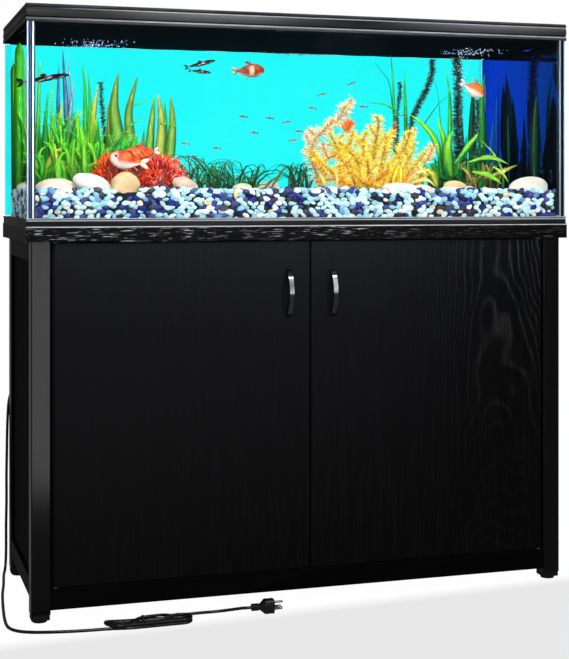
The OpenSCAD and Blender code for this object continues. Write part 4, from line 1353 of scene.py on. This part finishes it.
def fish(batch, at, length, height, face, tilt, paint, fins, eye, plump, frill, crest=None):
    """A fish with body, tail, back and belly fins. face 1 looks right, -1 looks left."""
    origin = Vector(at) * MM
    turn = Matrix.Rotation(math.radians(-tilt * face), 3, "Y")
    size = length * MM

    def spot(x, y, z):
        return origin + turn @ Vector(((x - 0.5) * size * face, y * size, z * size))

    tall, n, m = height / length, 13, 12
    rings, tints = [], []
    for i in range(n):
        t = i / (n - 1)
        x = 1 - 0.74 * t
        body = math.sin(math.pi * min(0.06 + t * 0.9, 1)) ** 0.75
        body *= 1 - 0.62 * t * t
        h = tall / 2 * max(body, 0.10)
        w = h * plump * (1 - 0.5 * t)
        rings.append([spot(x, w * math.cos(a), h * math.sin(a) - 0.02 * t)
                      for a in (2 * math.pi * k / m for k in range(m))])
        tints += [paint(t, math.sin(2 * math.pi * k / m), k) for k in range(m)]
    verts, faces = loft(rings)
    batch.add(verts, faces, tints)

    def fin(points, width, colours=fins):
        root = Vector(points[0])
        reach = [root + (Vector(q) - root) * frill for q in points]
        route = [tuple(v / MM for v in spot(*q)) for q in reach]
        blade(batch, route, width * length * frill, colours[0], colours[1], None, "oval",
              turn @ Vector((0.7 * face, 0.1, 0.7)), 0, 0.004, 0.02)

    fin([(0.30, 0, -0.01), (0.14, 0.01, 0.06), (0.0, 0.03, 0.15)], 0.16)
    fin([(0.30, 0, -0.03), (0.14, -0.01, -0.09), (0.02, -0.03, -0.17)], 0.15)
    fin([(0.66, 0, tall * 0.40), (0.52, 0.01, tall * 0.58), (0.36, 0.01, tall * 0.52)], 0.13,
        crest or fins)
    fin([(0.62, 0.03, -tall * 0.36), (0.52, 0.04, -tall * 0.62), (0.44, 0.05, -tall * 0.74)], 0.10)
    fin([(0.42, 0, -tall * 0.24), (0.34, 0, -tall * 0.42), (0.28, 0, -tall * 0.5)], 0.08)
    if eye:
        points, ball_faces = ball(2)
        for side in (-1, 1):
            for r, push, colour in ((0.034, 0, srgb(214, 150, 60)), (0.027, 0.013, srgb(6, 6, 8))):
                centre = spot(0.885, side * (tall * plump * 0.30 + push), tall * 0.12)
                batch.add(points * r * size + np.array(centre), ball_faces, [colour] * len(points))


def fishes():
    """Four larger fish, three dark slim ones and a shoal; t runs from nose to tail, up from -1 to 1."""
    rng = random.Random(51)
    white, orange, red = hues("e2d4c8 ec6e14 ce280c")

    def gold(t, up, k):
        if t < 0.22:
            return white if up < 0.8 else blend_colour(white, orange, 0.4)
        patch = math.sin(t * 15 + k * 0.7)
        if up > -0.05:
            return red if patch > -0.2 else orange
        return orange if up > -0.4 and patch > 0.2 else white

    def ruddy(t, up, k):
        patch = math.sin(t * 19 + k * 1.3)
        return red if patch > 0.3 else orange if patch > -0.6 else srgb(120, 40, 20)

    def brown(t, up, k):
        tone = blend_colour(srgb(176, 64, 14), srgb(84, 26, 10), 0.5 + 0.5 * math.sin(t * 22 + k))
        pale = up < -0.5 or (abs(t - 0.45) < 0.1 and up < 0.5)
        return blend_colour(tone, srgb(226, 180, 140), 0.7) if pale else tone

    def belly(t, up, k):
        tone = srgb(206, 100, 20) if up > 0.0 else white
        return blend_colour(tone, srgb(130, 46, 10), 0.7) if up > 0.6 and 0.2 < t < 0.6 else tone

    # painted glints: pale flecks on the dark slim fish, where their scales catch the light
    def mottle(t, up, k):
        lit = math.sin(t * 31 + k * 2.1) + math.sin(k * 3.3 + t * 17)
        return srgb(190, 180, 196) if lit > 1.25 else srgb(8, 7, 14)

    def dart(t, up, k):
        return srgb(120, 14, 24) if up > -0.3 else srgb(176, 120, 130)

    batch = Batch()
    pale_fin, dark_fin, small_fin = hues("d6c4b4 e8e2dc"), hues("0a0910 282434"), hues("461428 5a4660")
    for row in (
            ((-374, -98, 957), 94, 46, -1, 8, gold, pale_fin, True, 0.5, 0.7, (red, orange)),
            ((-334, -62, 978), 84, 42, -1, -10, ruddy, pale_fin, False, 0.5, 0.5, (red, orange)),
            ((-96, -20, 1168), 88, 36, 1, 2, brown, hues("aa501e d6beaa"), True, 0.6, 0.55,
             hues("6e240a 963c14")),
            ((466, -20, 1142), 74, 42, 1, -26, belly, pale_fin, True, 0.65, 0.7,
             (srgb(150, 60, 10), orange)),
            ((-552, 118, 1148), 150, 16, 1, 9, mottle, dark_fin, False, 0.7, 0.35),
            ((-212, -20, 1178), 92, 12, 1, 13, mottle, dark_fin, False, 0.7, 0.35),
            ((-209, -16, 1164), 66, 10, 1, -6, mottle, dark_fin, False, 0.7, 0.35)):
        fish(batch, *row)
    for x, z, face, tilt in (
            (-94, 1063, -1, 4), (-30, 1061, -1, 2), (6, 1052, 1, 6), (-67, 1027, -1, 4), (40, 1031, -1, 0),
            (-156, 990, -1, 4), (-228, 1000, -1, 6), (-216, 970, 1, 3), (95, 1118, 1, 14),
            (74, 1086, -1, 3), (167, 1145, 1, 18), (201, 1092, -1, 2), (299, 1073, 1, 2),
            (22, 1010, 1, 2), (120, 1000, -1, 2)):
        fish(batch, (x, rng.uniform(-6, 6), z), 24, 4.6, face, tilt, dart, small_fin, False, 0.6, 0.6)
    look = tinted("fish_scales", 0.35, (260, 0.25), 0.3, 0.0004, 0.04)
    batch.piece("fish", look, "river_stone")


def bubbles():
    """Froth under the surface and a thin column rising from the right, coloured with painted reflections.
    """
    rng = random.Random(61)
    points, faces = ball(1)
    batch = Batch()
    # painted reflections: pale and blue colours stand for the light the bubbles reflect
    reflection_tones = hues("ebf5ff 96befa 5a82e6 fafcff")

    def bubble(x, y, z, r):
        batch.add(points * r * MM + np.array((x, y, z)) * MM, faces,
                  [rng.choice(reflection_tones)] * len(points))

    for count, xs, ys in ((190, (-510, -340), (182, 20)), (120, (6, 214), (206, 168)),
                          (150, (396, 570), (80, -60))):
        for _ in range(count):
            u = rng.gauss(0.5, 0.22)
            v = rng.random() ** 1.7
            r = rng.uniform(0.6, 1.5)
            bubble(xs[0] + (xs[1] - xs[0]) * min(max(u, 0), 1), ys[0] + (ys[1] - ys[0]) * v,
                   1233.4 - r - rng.random() * 2.5, r)
    for _ in range(60):
        z = rng.uniform(1140, 1232)
        bubble(500 + rng.gauss(0, 12) + (1232 - z) * 0.06, 112 + rng.gauss(0, 10), z,
               rng.uniform(0.6, 1.4))
    look = tinted("bubble_reflection", 0.1, (200, 0.15), 0.05, 0.0002, 0.25)
    batch.piece("bubbles", look, "tank_glass")


def water():
    """The surface of the water: pale and rippled above; from below, a dark sheet of painted shade."""
    nx, ny = 90, 34
    low, high = (-INNER_X + 0.0008, INNER_FRONT + 0.0008), (INNER_X - 0.0008, INNER_BACK - 0.0008)
    verts = []
    for top in (0, 1):
        for j in range(ny + 1):
            for i in range(nx + 1):
                x = low[0] + (high[0] - low[0]) * i / nx
                y = low[1] + (high[1] - low[1]) * j / ny
                wave = 0.0003 * math.sin(x * 61 + y * 37) + 0.0002 * math.sin(x * 23 - y * 71)
                verts.append((x, y, WATER_Z - 0.0012 + 0.0012 * top + wave))
    w = nx + 1
    layer = w * (ny + 1)
    faces = []
    for j in range(ny):
        for a in range(j * w, j * w + nx):
            faces += [(a, a + w, a + w + 1, a + 1),
                      (layer + a, layer + a + 1, layer + a + w + 1, layer + a + w)]
    dark = [1, 0] * (len(faces) // 2)
    rim = [j * w for j in range(ny + 1)] + [ny * w + i for i in range(1, w)]
    rim += [j * w + nx for j in range(ny - 1, -1, -1)] + [i for i in range(nx - 1, 0, -1)]
    for k, a in enumerate(rim):
        b = rim[(k + 1) % len(rim)]
        faces.append((a, layer + a, layer + b, b))
        dark.append(1)
    top, ripple = clouded("water_top", (9, (1, 1, 1), 3), "28606e 5496a0", Roughness=0.04, IOR=1.33)
    top.bump(ripple, 0.3, 0.004)
    # painted shade: the underside is a dark sheet standing for the shaded space under the hood
    under, _ = clouded("water_under_shade", (3, (1, 2, 1), 2), "0d0f14 14161e", Roughness=0.6,
                       Specular_IOR_Level=0.0)
    obj = mesh_object("water_surface", verts, faces, top.material)
    obj.data.materials.append(under.material)
    obj.data.polygons.foreach_set("material_index", dark)


gravel()
stones()
red_coral()
yellow_coral()
left_plants()
centre_plants()
right_plants()
fishes()
bubbles()
water()
